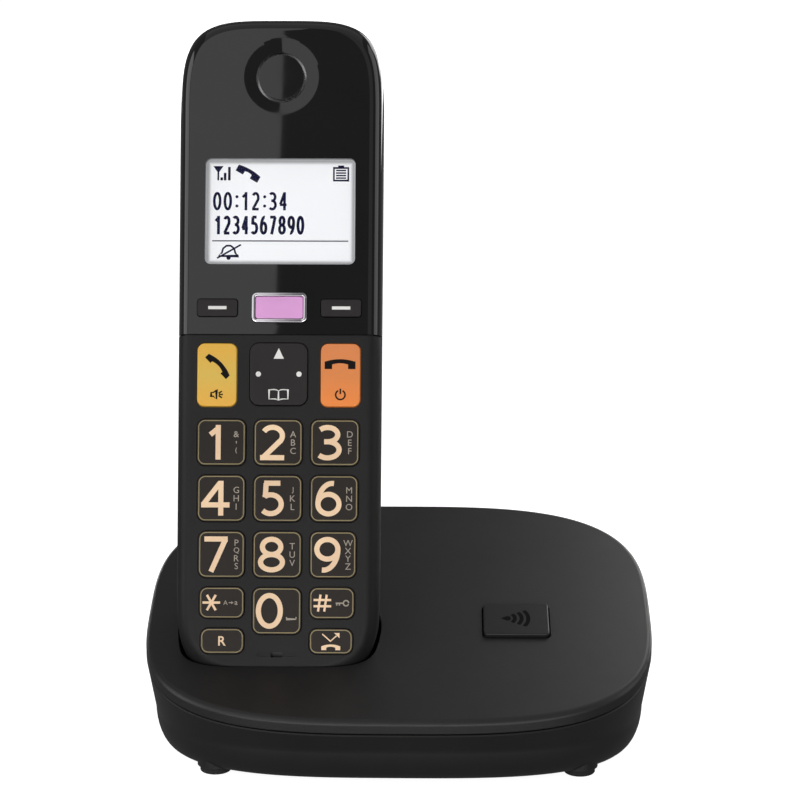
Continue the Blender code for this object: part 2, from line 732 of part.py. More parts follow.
def make_keys():
    special = {"talk_key": YELLOW, "off_key": ORANGE}
    for name, x, y, width, height, corner in key_layout():
        if name == "centre_key_frame":
            frame_key = key_cap(name, x, y, width, height, corner, CHROME, top=0.0006)
            low = (x - width / 2 + CENTRE_RIM, y - height / 2 + CENTRE_RIM, -0.0010)
            high = (x + width / 2 - CENTRE_RIM, y + height / 2 - CENTRE_RIM, 0.01)
            cut(frame_key, box("centre_key_pocket", low, high, HANDSET, None, 0.0008))
            inset = Vector((0.0002, 0.0002, 0))
            low, high = Vector((low[0], low[1], -0.0007)) + inset, Vector((high[0], high[1], 0.0005)) - inset
            box("centre_key_lens", low, high, HANDSET, LILAC, 0.0006)
        elif name == "navigator_key":
            key_cap(name, x, y, width, height, corner, KEYCAP, top=0.0006, flange_top=FLANGE_TOP - TILT_ROOM)
        else:
            key_cap(name, x, y, width, height, corner, special.get(name, KEYCAP))


# ---------------------------------------------------------------- handset inside


def make_keypad_mat():
    low, high = (-0.0201, 0.0056, MAT_BOTTOM), (0.0201, 0.0920, MAT_TOP)
    mat = box("keypad_mat", low, high, HANDSET, SILICONE, 0.0036)
    cut(mat, box("mic_notch", (-0.0037, 0, -0.01), (0.0037, 0.0104, 0.01), HANDSET))
    half = NAVIGATOR_PAD / 2 + 0.0004
    y = NAVIGATOR[0]
    cut(mat, box("navigator_notch", (-half, y - half, -0.01), (half, y + half, 0.01), HANDSET))
    half -= 0.0004
    low, high = (-half, y - half, MAT_BOTTOM), (half, y + half, FLANGE_BOTTOM - 0.0008)
    box("navigator_pad", low, high, HANDSET, SILICONE)


def make_handset_board():
    low, high = (-BOARD_HALF_WIDTH, BOARD_SPAN[0], BOARD_BOTTOM), (BOARD_HALF_WIDTH, BOARD_SPAN[1], BOARD_TOP)
    board = box("handset_circuit_board", low, high, HANDSET, BOARD, 0.0015)
    low, high = (-0.014, 0.098, BOARD_BOTTOM - 0.0022), (0.008, 0.116, BOARD_TOP - 0.0003)
    join(board, box("radio_module", low, high, HANDSET))
    cylinder("microphone", 0.0030, -0.0052, -0.0030, (0, MIC_Y + 0.0004), HANDSET, STEEL, 20)
    ringer = cylinder("ringer_speaker", 0.0088, -0.0172, -0.0130, (0, 0.1122), HANDSET, STEEL, 28)
    magnet = cylinder("ringer_magnet", 0.0050, -0.0132, -0.0110, (0, 0.1122), HANDSET, sides=20)
    join(ringer, magnet)


def lying_cylinder(name, radius, start, end, x, z, parent, look, sides=24):
    """A round bar along the handset's y axis."""
    bar = cylinder(name, radius, start, end, (0, 0), parent, look, sides)
    bar.rotation_euler = (-math.pi / 2, 0, 0)
    bar.location = (x, 0, z)
    return bar


def spring(name, x, z, start, end, parent):
    """A conical battery spring: its coil is a loop of points about the cell's axis."""
    turns, steps, wire = 3.5, 9, 0.00022
    count = int(turns * steps)
    curve = bpy.data.curves.new(name, "CURVE")
    curve.dimensions = "3D"
    curve.bevel_depth = wire
    curve.bevel_resolution = 1
    curve.use_fill_caps = True
    line = curve.splines.new("POLY")
    line.points.add(count)
    for k, point in enumerate(line.points):
        share = k / count
        angle = 2 * math.pi * turns * share
        radius = 0.0036 - 0.0016 * share
        y = start + (end - start) * share
        point.co = (x + radius * math.cos(angle), y, z + radius * math.sin(angle), 1)
    made = bpy.data.objects.new(name, curve)
    return place(made, parent, STEEL)


def make_batteries():
    for name, side in (("left", -1), ("right", 1)):
        x = side * CELL_X
        body = lying_cylinder(f"battery_{name}", CELL_RADIUS, *CELL_SPAN, x, CELL_Z, HANDSET, CELL, 28)
        nub_start, nub_end = CELL_SPAN[1] - 0.0005, CELL_SPAN[1] + 0.0010
        join(body, lying_cylinder(f"nub_{name}", 0.0019, nub_start, nub_end, x, CELL_Z, HANDSET, None, 16))
        spring(f"battery_spring_{name}", x, CELL_Z, BAY_SPAN[0] + 0.0006, CELL_SPAN[0] - 0.0006, HANDSET)
    plate_start = CELL_SPAN[1] + 0.0010 + GAP
    low = (-0.0115, plate_start, CELL_Z - 0.0035)
    box("battery_end_plate", low, (0.0115, BAY_SPAN[1] - GAP, CELL_Z + 0.0035), HANDSET, STEEL)


def make_handset_contacts():
    for name, side in (("left", -1), ("right", 1)):
        low = (side * CONTACT_X - CONTACT_SIZE[0] / 2, 0, CONTACT_DEPTH - CONTACT_SIZE[1] / 2)
        high = (side * CONTACT_X + CONTACT_SIZE[0] / 2, 0.0034, CONTACT_DEPTH + CONTACT_SIZE[1] / 2)
        box(f"handset_contact_{name}", low, high, HANDSET, GOLD, 0.0005)


def make_handset_screws():
    for name, side in (("left", -1), ("right", 1)):
        at = (side * HANDSET_SCREWS_X, HANDSET_SCREWS_Y)
        screw(f"handset_screw_{name}", at, -0.0133, -0.0045, 0.0020, 0.0009, HANDSET)


make_bottom_cover()
make_top_cover()
make_feet()
make_base_screws()
make_base_inside()
make_locator_button()
make_base_contacts()
make_keypad_casing()
make_display_casing()
make_rear_casing()
make_battery_door()
make_earpiece()
make_display()
make_keys()
make_keypad_mat()
make_handset_board()
make_batteries()
make_handset_contacts()
make_handset_screws()
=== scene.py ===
"""Looks of a cordless phone standing in its charging base.

Handset pieces are drawn in the handset's own frame: x to the right, y up the handset from its bottom end,
z out of the keypad face. Pieces of the base's top are drawn in a frame whose z is the normal of the slope.
"""

import json
import math

import bmesh
import bpy
from mathutils import Matrix, Vector

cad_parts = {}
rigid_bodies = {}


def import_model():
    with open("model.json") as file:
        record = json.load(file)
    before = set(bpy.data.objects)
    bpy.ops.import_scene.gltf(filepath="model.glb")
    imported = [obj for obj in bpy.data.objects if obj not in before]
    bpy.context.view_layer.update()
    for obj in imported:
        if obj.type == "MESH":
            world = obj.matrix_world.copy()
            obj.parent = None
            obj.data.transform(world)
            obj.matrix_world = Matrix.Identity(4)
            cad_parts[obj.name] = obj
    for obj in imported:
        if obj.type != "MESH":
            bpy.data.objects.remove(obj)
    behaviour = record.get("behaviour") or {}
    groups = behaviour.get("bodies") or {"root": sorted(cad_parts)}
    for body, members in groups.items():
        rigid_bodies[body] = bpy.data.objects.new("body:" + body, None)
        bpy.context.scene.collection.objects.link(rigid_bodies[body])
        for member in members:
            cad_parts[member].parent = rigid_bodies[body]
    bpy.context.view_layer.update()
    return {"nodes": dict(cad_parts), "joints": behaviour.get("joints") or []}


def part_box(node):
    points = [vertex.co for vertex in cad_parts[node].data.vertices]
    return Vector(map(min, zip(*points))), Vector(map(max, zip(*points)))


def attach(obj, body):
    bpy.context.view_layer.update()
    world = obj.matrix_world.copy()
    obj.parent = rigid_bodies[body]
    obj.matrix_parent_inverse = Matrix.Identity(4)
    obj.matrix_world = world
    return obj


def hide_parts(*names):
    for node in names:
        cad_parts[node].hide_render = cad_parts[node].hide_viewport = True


for leftover in list(bpy.data.objects):
    bpy.data.objects.remove(leftover)
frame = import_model()

MM = 0.001

# ---------------------------------------------------------------- frames and sizes


def joint_axis(name):
    return Vector(next(j["axis"] for j in frame["joints"] if j["name"] == name)).normalized()


def turned_frame(up, out):
    """Rotation whose columns are the world's x, an up direction and an outward direction."""
    return Matrix((Vector((1, 0, 0)), up, out)).transposed()


def node_points(node, turn):
    return [turn.transposed() @ v.co for v in frame["nodes"][node].data.vertices]


def limit(points, axis, pick):
    return pick(p[axis] for p in points)


HANDSET_TURN = turned_frame(joint_axis("handset_lift"), -joint_axis("key_5_press"))
casing_points = node_points("keypad_casing", HANDSET_TURN)
display_points = node_points("display_casing", HANDSET_TURN)
handset_corner = Vector(
    (
        (limit(casing_points, 0, min) + limit(casing_points, 0, max)) / 2,
        limit(casing_points, 1, min),
        limit(casing_points, 2, max),
    )
)
HANDSET = Matrix.Translation(HANDSET_TURN @ handset_corner) @ HANDSET_TURN.to_4x4()
LENGTH = limit(display_points, 1, max) - handset_corner.y
HALF_TOP = limit(display_points, 0, max) - handset_corner.x

TOP_OUT = -joint_axis("locator_press")
TOP_TURN = turned_frame(TOP_OUT.cross(Vector((1, 0, 0))), TOP_OUT)
TOP_SLOPE = math.atan2(-TOP_OUT.y, TOP_OUT.z)
top_plane = limit(node_points("base_top_cover", TOP_TURN), 2, max)
BASE_HEIGHT = top_plane / TOP_OUT.z
TOP = Matrix.Translation((0, 0, BASE_HEIGHT)) @ TOP_TURN.to_4x4()
BASE_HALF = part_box("base_top_cover")[1]
BOTTOM_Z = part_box("base_bottom_cover")[0].z

SIDES = ("left", "right")
FEET = ("front_left", "front_right", "rear_left", "rear_right")

# Cutters reach this far through a wall, or past the handset
THROUGH = 10 * MM
REACH = 50 * MM

# Base housing
PLAN_POWER = 3.2
PLAN_POINTS = 220
RIM_RADIUS = 1.2 * MM
RIM_DROP = 3.2 * MM
RIM_CHAMFER = 0.3 * MM
SEAM = 0.3 * MM
HOLE_CORNER = 1.4 * MM
BASE_WALL = 1.6 * MM
TOP_THICKNESS = 1.8 * MM
WALL_TAPER = 2.0 * MM
BOTTOM_FILLET = (4.0 * MM, 8.5 * MM)  # inset, height
PAD_MARGIN = 0.6 * MM
PAD_HEIGHT = 4.5 * MM
BASE_SCREW_WELL = 2.7 * MM
LABEL_AREA = ((-2 * MM, -MM), (48 * MM, 30 * MM))  # centre, size
LABEL_DEPTH = 0.25 * MM
BUTTON_FLANGE = 1.0 * MM
JACK_WIRES = 4
WIRE_PITCH = 1.27 * MM
WIRE_WIDTH = 0.44 * MM

# Handset housing
HALF_BOTTOM = HALF_TOP - 0.4 * MM
END_DEPTH = 25 * MM
END_POWER = 4.0
END_STEPS = 26
THICKNESS = (25.2 * MM, 21.5 * MM)  # bottom end, top end
PARTING = 9 * MM
SHELL = 1.6 * MM
FACE_FILLET = (3.4 * MM, 5.0 * MM)
BACK_FILLET = 9.5 * MM
BACK_STRAIGHT = 3.0 * MM
WELL_ROOM = 0.8 * MM
WELL_WALL = 1.3 * MM
SPLIT_Y = (limit(casing_points, 1, max) + limit(display_points, 1, min)) / 2 - handset_corner.y
CASING_BEVEL = 0.1 * MM
TONGUE_HALF = 22 * MM
HANDSET_SCREW_WELL = 2.4 * MM
BAY_ROOF = -10.3 * MM
DOOR_THICKNESS = 1.4 * MM
DOOR_GROOVES = 4
RINGER_SLOTS = 4
RINGER_START = 108.05 * MM
RINGER_PITCH = 2.8 * MM

# Keys
FLANGE = 0.4 * MM
FLANGE_HEIGHT = 0.6 * MM
KEY_GAP = 0.16 * MM
EDGE = 0.12 * MM
PRINT_DEPTH = 0.02 * MM
PRINT_RISE = 0.02 * MM
PRINT_STEP = 0.003 * MM
OUTLINE = (0.27 * MM, 0.50 * MM)  # band round a key's top, from its edge

# Earpiece
DISH_RADIUS = 9.5 * MM
THROAT_RADIUS = 6.2 * MM
DISH_DEPTH = 0.9 * MM


def local_box(node, matrix):
    """Lowest and highest corner of a CAD node in a local frame."""
    inverse = matrix.inverted()
    points = [inverse @ v.co for v in frame["nodes"][node].data.vertices]
    return (
        Vector([limit(points, axis, min) for axis in range(3)]),
        Vector([limit(points, axis, max) for axis in range(3)]),
    )


def middle_of(low, high):
    return (low.x + high.x) / 2, (low.y + high.y) / 2


def span_of(low, high, room=0.0):
    """Width and height between two corners, with some room added on every side."""
    return high.x - low.x + 2 * room, high.y - low.y + 2 * room


# ---------------------------------------------------------------- materials

COLOUR_DRIFT = 14 * MM
GLOSS_DRIFT = 5 * MM
GRAIN_SIZE = 0.2 * MM
GRAIN_DEPTH = 0.02 * MM
DOT_PITCH = 0.32 * MM
DOT_GAP = 0.03 * MM
PAINTED_EDGE_SHADE = (0.1 * MM, 1.1 * MM)  # distances from the display's edge between which its painted shade, which stands for the window rim's shadow, fades


def node_material(name):
    made = bpy.data.materials.new(name)
    made.use_nodes = True
    return made, made.node_tree.nodes, made.node_tree.links, made.node_tree.nodes["Principled BSDF"]


def set_sockets(node, values):
    for name, value in values.items():
        node.inputs[name].default_value = value


def noise(nodes, links, scale, detail=2.0):
    place = nodes.new("ShaderNodeTexCoord")
    made = nodes.new("ShaderNodeTexNoise")
    set_sockets(made, {"Scale": scale, "Detail": detail})
    links.new(place.outputs["Object"], made.inputs["Vector"])
    return made


def ramp(nodes, links, source, low, high, start=0.3, stop=0.7):
    made = nodes.new("ShaderNodeValToRGB")
    made.color_ramp.elements[0].position = start
    made.color_ramp.elements[1].position = stop
    made.color_ramp.elements[0].color = (*low, 1)
    made.color_ramp.elements[1].color = (*high, 1)
    links.new(source, made.inputs["Fac"])
    return made


def moulded(name, colour, roughness, spread=0.04, grain=0.0, specular=0.5, metallic=0.0):
    """Plain or plated plastic. Colour and gloss drift slightly, and the mould's grain shows as fine bump."""
    made, nodes, links, shader = node_material(name)
    drift = noise(nodes, links, 1 / COLOUR_DRIFT, 4.0)
    darker, lighter = ([min(c * share, 1) for c in colour] for share in (0.9, 1.1))
    tone = ramp(nodes, links, drift.outputs["Fac"], darker, lighter)
    links.new(tone.outputs["Color"], shader.inputs["Base Color"])
    sheen = noise(nodes, links, 1 / GLOSS_DRIFT, 3.0)
    spread_map = nodes.new("ShaderNodeMapRange")
    set_sockets(spread_map, {"To Min": roughness - spread, "To Max": roughness + spread})
    links.new(sheen.outputs["Fac"], spread_map.inputs["Value"])
    links.new(spread_map.outputs["Result"], shader.inputs["Roughness"])
    if grain:
        pits = noise(nodes, links, 1 / GRAIN_SIZE)
        bump = nodes.new("ShaderNodeBump")
        set_sockets(bump, {"Strength": grain, "Distance": GRAIN_DEPTH})
        links.new(pits.outputs["Fac"], bump.inputs["Height"])
        links.new(bump.outputs["Normal"], shader.inputs["Normal"])
    set_sockets(shader, {"Specular IOR Level": specular, "Metallic": metallic})
    return made


def lit_key(name, node, top, middle, bottom):
    """A translucent key whose colour changes from its top to its bottom edge."""
    made = moulded(name, middle, 0.36, grain=0.1)
    nodes, links, shader = made.node_tree.nodes, made.node_tree.links, made.node_tree.nodes["Principled BSDF"]
    low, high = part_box(node)
    place = nodes.new("ShaderNodeTexCoord")
    split = nodes.new("ShaderNodeSeparateXYZ")
    links.new(place.outputs["Object"], split.inputs["Vector"])
    height = nodes.new("ShaderNodeMapRange")
    set_sockets(height, {"From Min": low.z, "From Max": high.z})
    links.new(split.outputs["Z"], height.inputs["Value"])
    tone = ramp(nodes, links, height.outputs["Result"], bottom, top, 0.12, 0.9)
    centre = tone.color_ramp.elements.new(0.55)
    centre.color = (*middle, 1)
    links.new(tone.outputs["Color"], shader.inputs["Base Color"])
    set_sockets(shader, {"Subsurface Weight": 0.15, "Subsurface Scale": 0.5 * MM})
    set_sockets(shader, {"Emission Color": (*middle, 1), "Emission Strength": 0.2})
    return made


def math_node(nodes, links, operation, *values):
    made = nodes.new("ShaderNodeMath")
    made.operation = operation
    for socket, value in zip(made.inputs, values):
        if isinstance(value, bpy.types.NodeSocket):
            links.new(value, socket)
        else:
            socket.default_value = value
    return made.outputs["Value"]


def lcd_material(name, colour):
    """Backlit display film with a faint dot grid, and painted shade towards its edges for the shadow of the
    window's rim.
    """
    made, nodes, links, shader = node_material(name)
    place = nodes.new("ShaderNodeTexCoord")
    turn = nodes.new("ShaderNodeMapping")
    turn.vector_type = "TEXTURE"
    set_sockets(turn, {"Rotation": HANDSET.to_euler(), "Location": HANDSET.to_translation()})
    links.new(place.outputs["Object"], turn.inputs["Vector"])
    dots = nodes.new("ShaderNodeTexBrick")
    dots.offset = 0
    set_sockets(dots, {"Brick Width": DOT_PITCH, "Row Height": DOT_PITCH})
    set_sockets(dots, {"Scale": 1.0, "Mortar Size": DOT_GAP})
    set_sockets(dots, {"Color1": (*colour, 1), "Color2": (*colour, 1)})
    set_sockets(dots, {"Mortar": (*[c * 0.93 for c in colour], 1)})
    links.new(turn.outputs["Vector"], dots.inputs["Vector"])
    split = nodes.new("ShaderNodeSeparateXYZ")
    links.new(turn.outputs["Vector"], split.inputs["Vector"])
    low, high = local_box("display_window", HANDSET)
    rooms = []
    for axis, socket in enumerate(("X", "Y")):
        offset = math_node(nodes, links, "SUBTRACT", split.outputs[socket], (low[axis] + high[axis]) / 2)
        size = math_node(nodes, links, "ABSOLUTE", offset)
        rooms.append(math_node(nodes, links, "SUBTRACT", (high[axis] - low[axis]) / 2, size))
    # Painted shade: the film's colour and glow darken towards the window's edges, where the rim would shade
    # it
    shade = nodes.new("ShaderNodeMapRange")
    shade.interpolation_type = "SMOOTHSTEP"
    set_sockets(shade, {"From Min": PAINTED_EDGE_SHADE[0], "From Max": PAINTED_EDGE_SHADE[1], "To Min": 0.45})
    links.new(math_node(nodes, links, "MINIMUM", *rooms), shade.inputs["Value"])
    tone = nodes.new("ShaderNodeMix")
    tone.data_type = "RGBA"
    tone.blend_type = "MULTIPLY"
    tone.inputs["Factor"].default_value = 1.0
    links.new(dots.outputs["Color"], tone.inputs["A"])
    links.new(shade.outputs["Result"], tone.inputs["B"])
    links.new(tone.outputs["Result"], shader.inputs["Base Color"])
    links.new(tone.outputs["Result"], shader.inputs["Emission Color"])
    set_sockets(shader, {"Emission Strength": 0.62, "Roughness": 0.4})
    return made


def clear_material(name):
    made = moulded(name, (0.02, 0.02, 0.022), 0.05, spread=0.02)
    made.node_tree.nodes["Principled BSDF"].inputs["Alpha"].default_value = 0.08
    return made


MATTE = moulded("matte_black_plastic", (0.0118, 0.0111, 0.0111), 0.42, grain=0.22, specular=0.42)
KEYPAD = moulded("keypad_black_plastic", (0.0118, 0.0109, 0.0107), 0.46, grain=0.22, specular=0.20)
GLOSS = moulded("gloss_black_plastic", (0.0066, 0.0064, 0.0066), 0.022, spread=0.012, specular=0.5)
KEYCAP = moulded("keycap_black_plastic", (0.0190, 0.0140, 0.0112), 0.40, grain=0.12, specular=0.20)
CONTROL = moulded("control_black_plastic", (0.0195, 0.0164, 0.0173), 0.40, grain=0.12, specular=0.20)
BUTTON = moulded("button_black_plastic", (0.0080, 0.0078, 0.0080), 0.34, grain=0.15, specular=0.42)
YELLOW = lit_key("talk_yellow", "talk_key", (0.66, 0.36, 0.035), (0.60, 0.40, 0.06), (0.72, 0.36, 0.035))
ORANGE = lit_key("off_orange", "off_key", (0.62, 0.20, 0.055), (0.64, 0.20, 0.045), (0.78, 0.22, 0.03))
LILAC = moulded("centre_lilac", (0.80, 0.38, 0.74), 0.35, grain=0.05)
CHROME = moulded("chrome_plating", (0.62, 0.59, 0.63), 0.07, spread=0.02, metallic=1.0)
RUBBER = moulded("foot_rubber", (0.012, 0.012, 0.012), 0.85, grain=0.5)
SILICONE = moulded("silicone", (0.62, 0.55, 0.42), 0.6, grain=0.2)
CLEAR = clear_material("clear_window")
SCREEN = lcd_material("display_film", (0.80, 0.81, 0.83))
INK = moulded("display_ink", (0.0055, 0.0045, 0.045), 0.7, specular=0.1)
BOARD = moulded("circuit_board", (0.02, 0.13, 0.05), 0.35, grain=0.2)
STEEL = moulded("steel", (0.50, 0.50, 0.51), 0.28, metallic=1.0, grain=0.1)
GOLD = moulded("contact_gold", (0.78, 0.58, 0.27), 0.22, metallic=1.0)
SLEEVE = moulded("cell_sleeve", (0.06, 0.26, 0.14), 0.35)
SOCKET = moulded("socket_plastic", (0.015, 0.015, 0.015), 0.4, grain=0.2)
PEACH = moulded("print_peach", (0.95, 0.66, 0.42), 0.5)
GREY = moulded("print_grey", (0.36, 0.31, 0.25), 0.5)
WHITE = moulded("print_white", (0.80, 0.79, 0.76), 0.45)
BLACK = moulded("print_black", (0.004, 0.003, 0.003), 0.7, specular=0.15)
DARK = moulded("print_dark", (0.0022, 0.0022, 0.0022), 0.7, specular=0.08)
OUTLINE_GOLD = moulded("outline_gold", (0.27, 0.21, 0.09), 0.4)


# ---------------------------------------------------------------- mesh tools

CORNER_STEPS = 7
RIM_STEPS = 4
SHARP_ANGLE = math.radians(32)
BEVEL_ANGLE = math.radians(40)


def link_object(name, data):
    made = bpy.data.objects.new(name, data)
    bpy.context.scene.collection.objects.link(made)
    return made


def mesh_of(bm, name="temporary"):
    mesh = bpy.data.meshes.new(name)
    bm.to_mesh(mesh)
    bm.free()
    return mesh


def loft(rings, closed=False):
    """A skin over rings of equal point count. Its ends are filled unless it closes on itself."""
    bm = bmesh.new()
    loops = [[bm.verts.new(point) for point in ring] for ring in rings]
    pairs = list(zip(loops, loops[1:]))
    if closed:
        pairs.append((loops[-1], loops[0]))
    for lower, upper in pairs:
        for i in range(len(lower)):
            j = (i + 1) % len(lower)
            bm.faces.new((lower[i], lower[j], upper[j], upper[i]))
    if not closed:
        bm.faces.new(loops[0])
        bm.faces.new(loops[-1])
    bmesh.ops.recalc_face_normals(bm, faces=bm.faces)
    return bm


def rounded_ring(centre, size, corner, z, steps=CORNER_STEPS):
    """A rectangle with round corners, counter-clockwise at height z."""
    corner = max(min(corner, min(size) / 2 - 0.01 * MM), 0.01 * MM)
    ring = []
    for quarter, (sx, sy) in enumerate(((1, 1), (-1, 1), (-1, -1), (1, -1))):
        hub = (centre[0] + sx * (size[0] / 2 - corner), centre[1] + sy * (size[1] / 2 - corner))
        for k in range(steps + 1):
            angle = (quarter + k / steps) * math.pi / 2
            ring.append((hub[0] + corner * math.cos(angle), hub[1] + corner * math.sin(angle), z))
    return ring


def inset_ring(centre, size, corner, inset, z):
    return rounded_ring(centre, [side - 2 * inset for side in size], corner - inset, z)


def circle_ring(centre, radius, z, count):
    angles = [2 * math.pi * k / count for k in range(count)]
    return [(centre[0] + radius * math.cos(a), centre[1] + radius * math.sin(a), z) for a in angles]


def quarter_turn(steps):
    """(sine, cosine) at even steps from 0 to 90 degrees."""
    angles = [k / steps * math.pi / 2 for k in range(steps + 1)]
    return [(math.sin(angle), math.cos(angle)) for angle in angles]


def rim_steps(edge):
    """(inset, drop below the top) along a quarter round of radius edge, from its foot up."""
    return [(edge * (1 - cosine), edge * (1 - sine)) for sine, cosine in quarter_turn(RIM_STEPS)]


def rounded_block(centre, size, corner, low, high, steps=CORNER_STEPS):
    return loft([rounded_ring(centre, size, corner, z, steps) for z in (low, high)])


def soft_block(centre, size, corner, low, high, edge):
    """A rounded block whose upper rim is a quarter round."""
    rings = [rounded_ring(centre, size, corner, low)]
    rings += [inset_ring(centre, size, corner, inset, high - drop) for inset, drop in rim_steps(edge)]
    return loft(rings)


def soft_disc(centre, radius, low, high, edge, count):
    """A disc whose upper rim is a quarter round."""
    rings = [circle_ring(centre, radius, low, count)]
    rings += [circle_ring(centre, radius - inset, high - drop, count) for inset, drop in rim_steps(edge)]
    return loft(rings)


def corner_block(low, high):
    """A plain box between two corners."""
    middle = [(a + b) / 2 for a, b in zip(low, high)]
    size = [b - a for a, b in zip(low, high)]
    return rounded_block(middle[:2], size[:2], 0.05 * MM, low[2], high[2], 1)


def in_frame(bm, matrix):
    bmesh.ops.transform(bm, matrix=matrix, verts=bm.verts)
    return bm


def combine(bm, others, operation):
    """bm with a Boolean operation against each of the other closed shapes, as a new bmesh."""
    target = link_object("temporary", mesh_of(bm))
    tools = [link_object("temporary", mesh_of(other)) for other in others]
    for tool in tools:
        modifier = target.modifiers.new("combine", "BOOLEAN")
        modifier.operation = operation
        modifier.object = tool
        modifier.solver = "EXACT"
    mesh = bpy.data.meshes.new_from_object(target.evaluated_get(bpy.context.evaluated_depsgraph_get()))
    result = bmesh.new()
    result.from_mesh(mesh)
    for used in (target, *tools):
        bpy.data.objects.remove(used)
    return result


def carve(bm, cutters):
    return combine(bm, cutters, "DIFFERENCE")


def merge(shapes):
    """Several closed shapes in one bmesh."""
    result = bmesh.new()
    for shape in shapes:
        mesh = mesh_of(shape)
        result.from_mesh(mesh)
        bpy.data.meshes.remove(mesh)
    return result


def piece(name, bm, body, look, nodes, matrix=None, bevel=0.0, normals=True):
    """A finished piece that rides on a body and stands for some CAD nodes."""
    if matrix is not None:
        in_frame(bm, matrix)
    mesh = mesh_of(bm, name)
    mesh.shade_smooth()
    mesh.set_sharp_from_angle(angle=SHARP_ANGLE)
    for each in look if isinstance(look, list) else [look]:
        mesh.materials.append(each)
    made = link_object(name, mesh)
    if bevel:
        edge = made.modifiers.new("edge", "BEVEL")
        edge.width = bevel
        edge.segments = 2
        edge.limit_method = "ANGLE"
        edge.angle_limit = BEVEL_ANGLE
    if normals:
        weighted = made.modifiers.new("normals", "WEIGHTED_NORMAL")
        weighted.keep_sharp = True
    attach(made, body)
    if nodes:
        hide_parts(*nodes)


def print_piece(name, marks, body, look, matrix=HANDSET):
    """Printed marks that ride on a body and stand for no CAD node."""
    piece(name, marks.bm, body, look, (), matrix, normals=False)


# ---------------------------------------------------------------- prints

CLOSED_GAP = 0.001  # mm


def bow(centre, radii, start, stop, steps=18):
    """Points along part of an ellipse, from one angle to another in degrees."""
    angles = [math.radians(start + (stop - start) * k / steps) for k in range(steps + 1)]
    return [(centre[0] + radii[0] * math.cos(a), centre[1] + radii[1] * math.sin(a)) for a in angles]


def digit_lines(character):
    """Centre lines of a digit's strokes in a square from -1 to 1."""
    if character == "0":
        return [bow((0, 0), (1, 1), 0, 360, 40)]
    if character == "1":
        return [[(0.35, -1.14), (0.35, 1.14)], [(0.35, 0.92), (-0.8, 0.5)]]
    if character == "2":
        return [bow((0, 0.44), (0.92, 0.56), 150, -32) + [(-0.84, -0.97)], [(-1.15, -1), (1.1, -1)]]
    if character == "3":
        upper = bow((-0.16, 0.53), (0.98, 0.47), 138, -90)
        lower = bow((-0.16, -0.47), (1.12, 0.53), 90, -138)
        return [upper, lower, [(-0.5, 0.06), (-0.1, 0.06)]]
    if character == "4":
        stem, slant = [(0.42, -1.14), (0.42, 1.14)], [(0.36, 1.02), (-0.98, -0.40)]
        return [stem, slant, [(-1.16, -0.44), (1.12, -0.44)]]
    if character == "5":
        bowl = bow((-0.14, -0.38), (1.1, 0.62), 122, -138)
        return [[(-0.82, 1), (0.85, 1)], [(-0.62, 1), (-0.70, 0.08)], [(-0.80, 0.07)] + bowl]
    if character in "69":
        lines = [bow((0, -0.36), (0.96, 0.64), 0, 360, 36), bow((0.35, -0.36), (1.31, 1.36), 84, 180)]
        return [[(-x, -y) for x, y in line] for line in lines] if character == "9" else lines
    if character == "7":
        return [[(-1.1, 1), (1.12, 1)], [(0.92, 1), (-0.45, -1.14)]]
    return [bow((0, 0.5), (0.84, 0.5), 0, 360, 36), bow((0, -0.5), (1, 0.5), 0, 360, 36)]


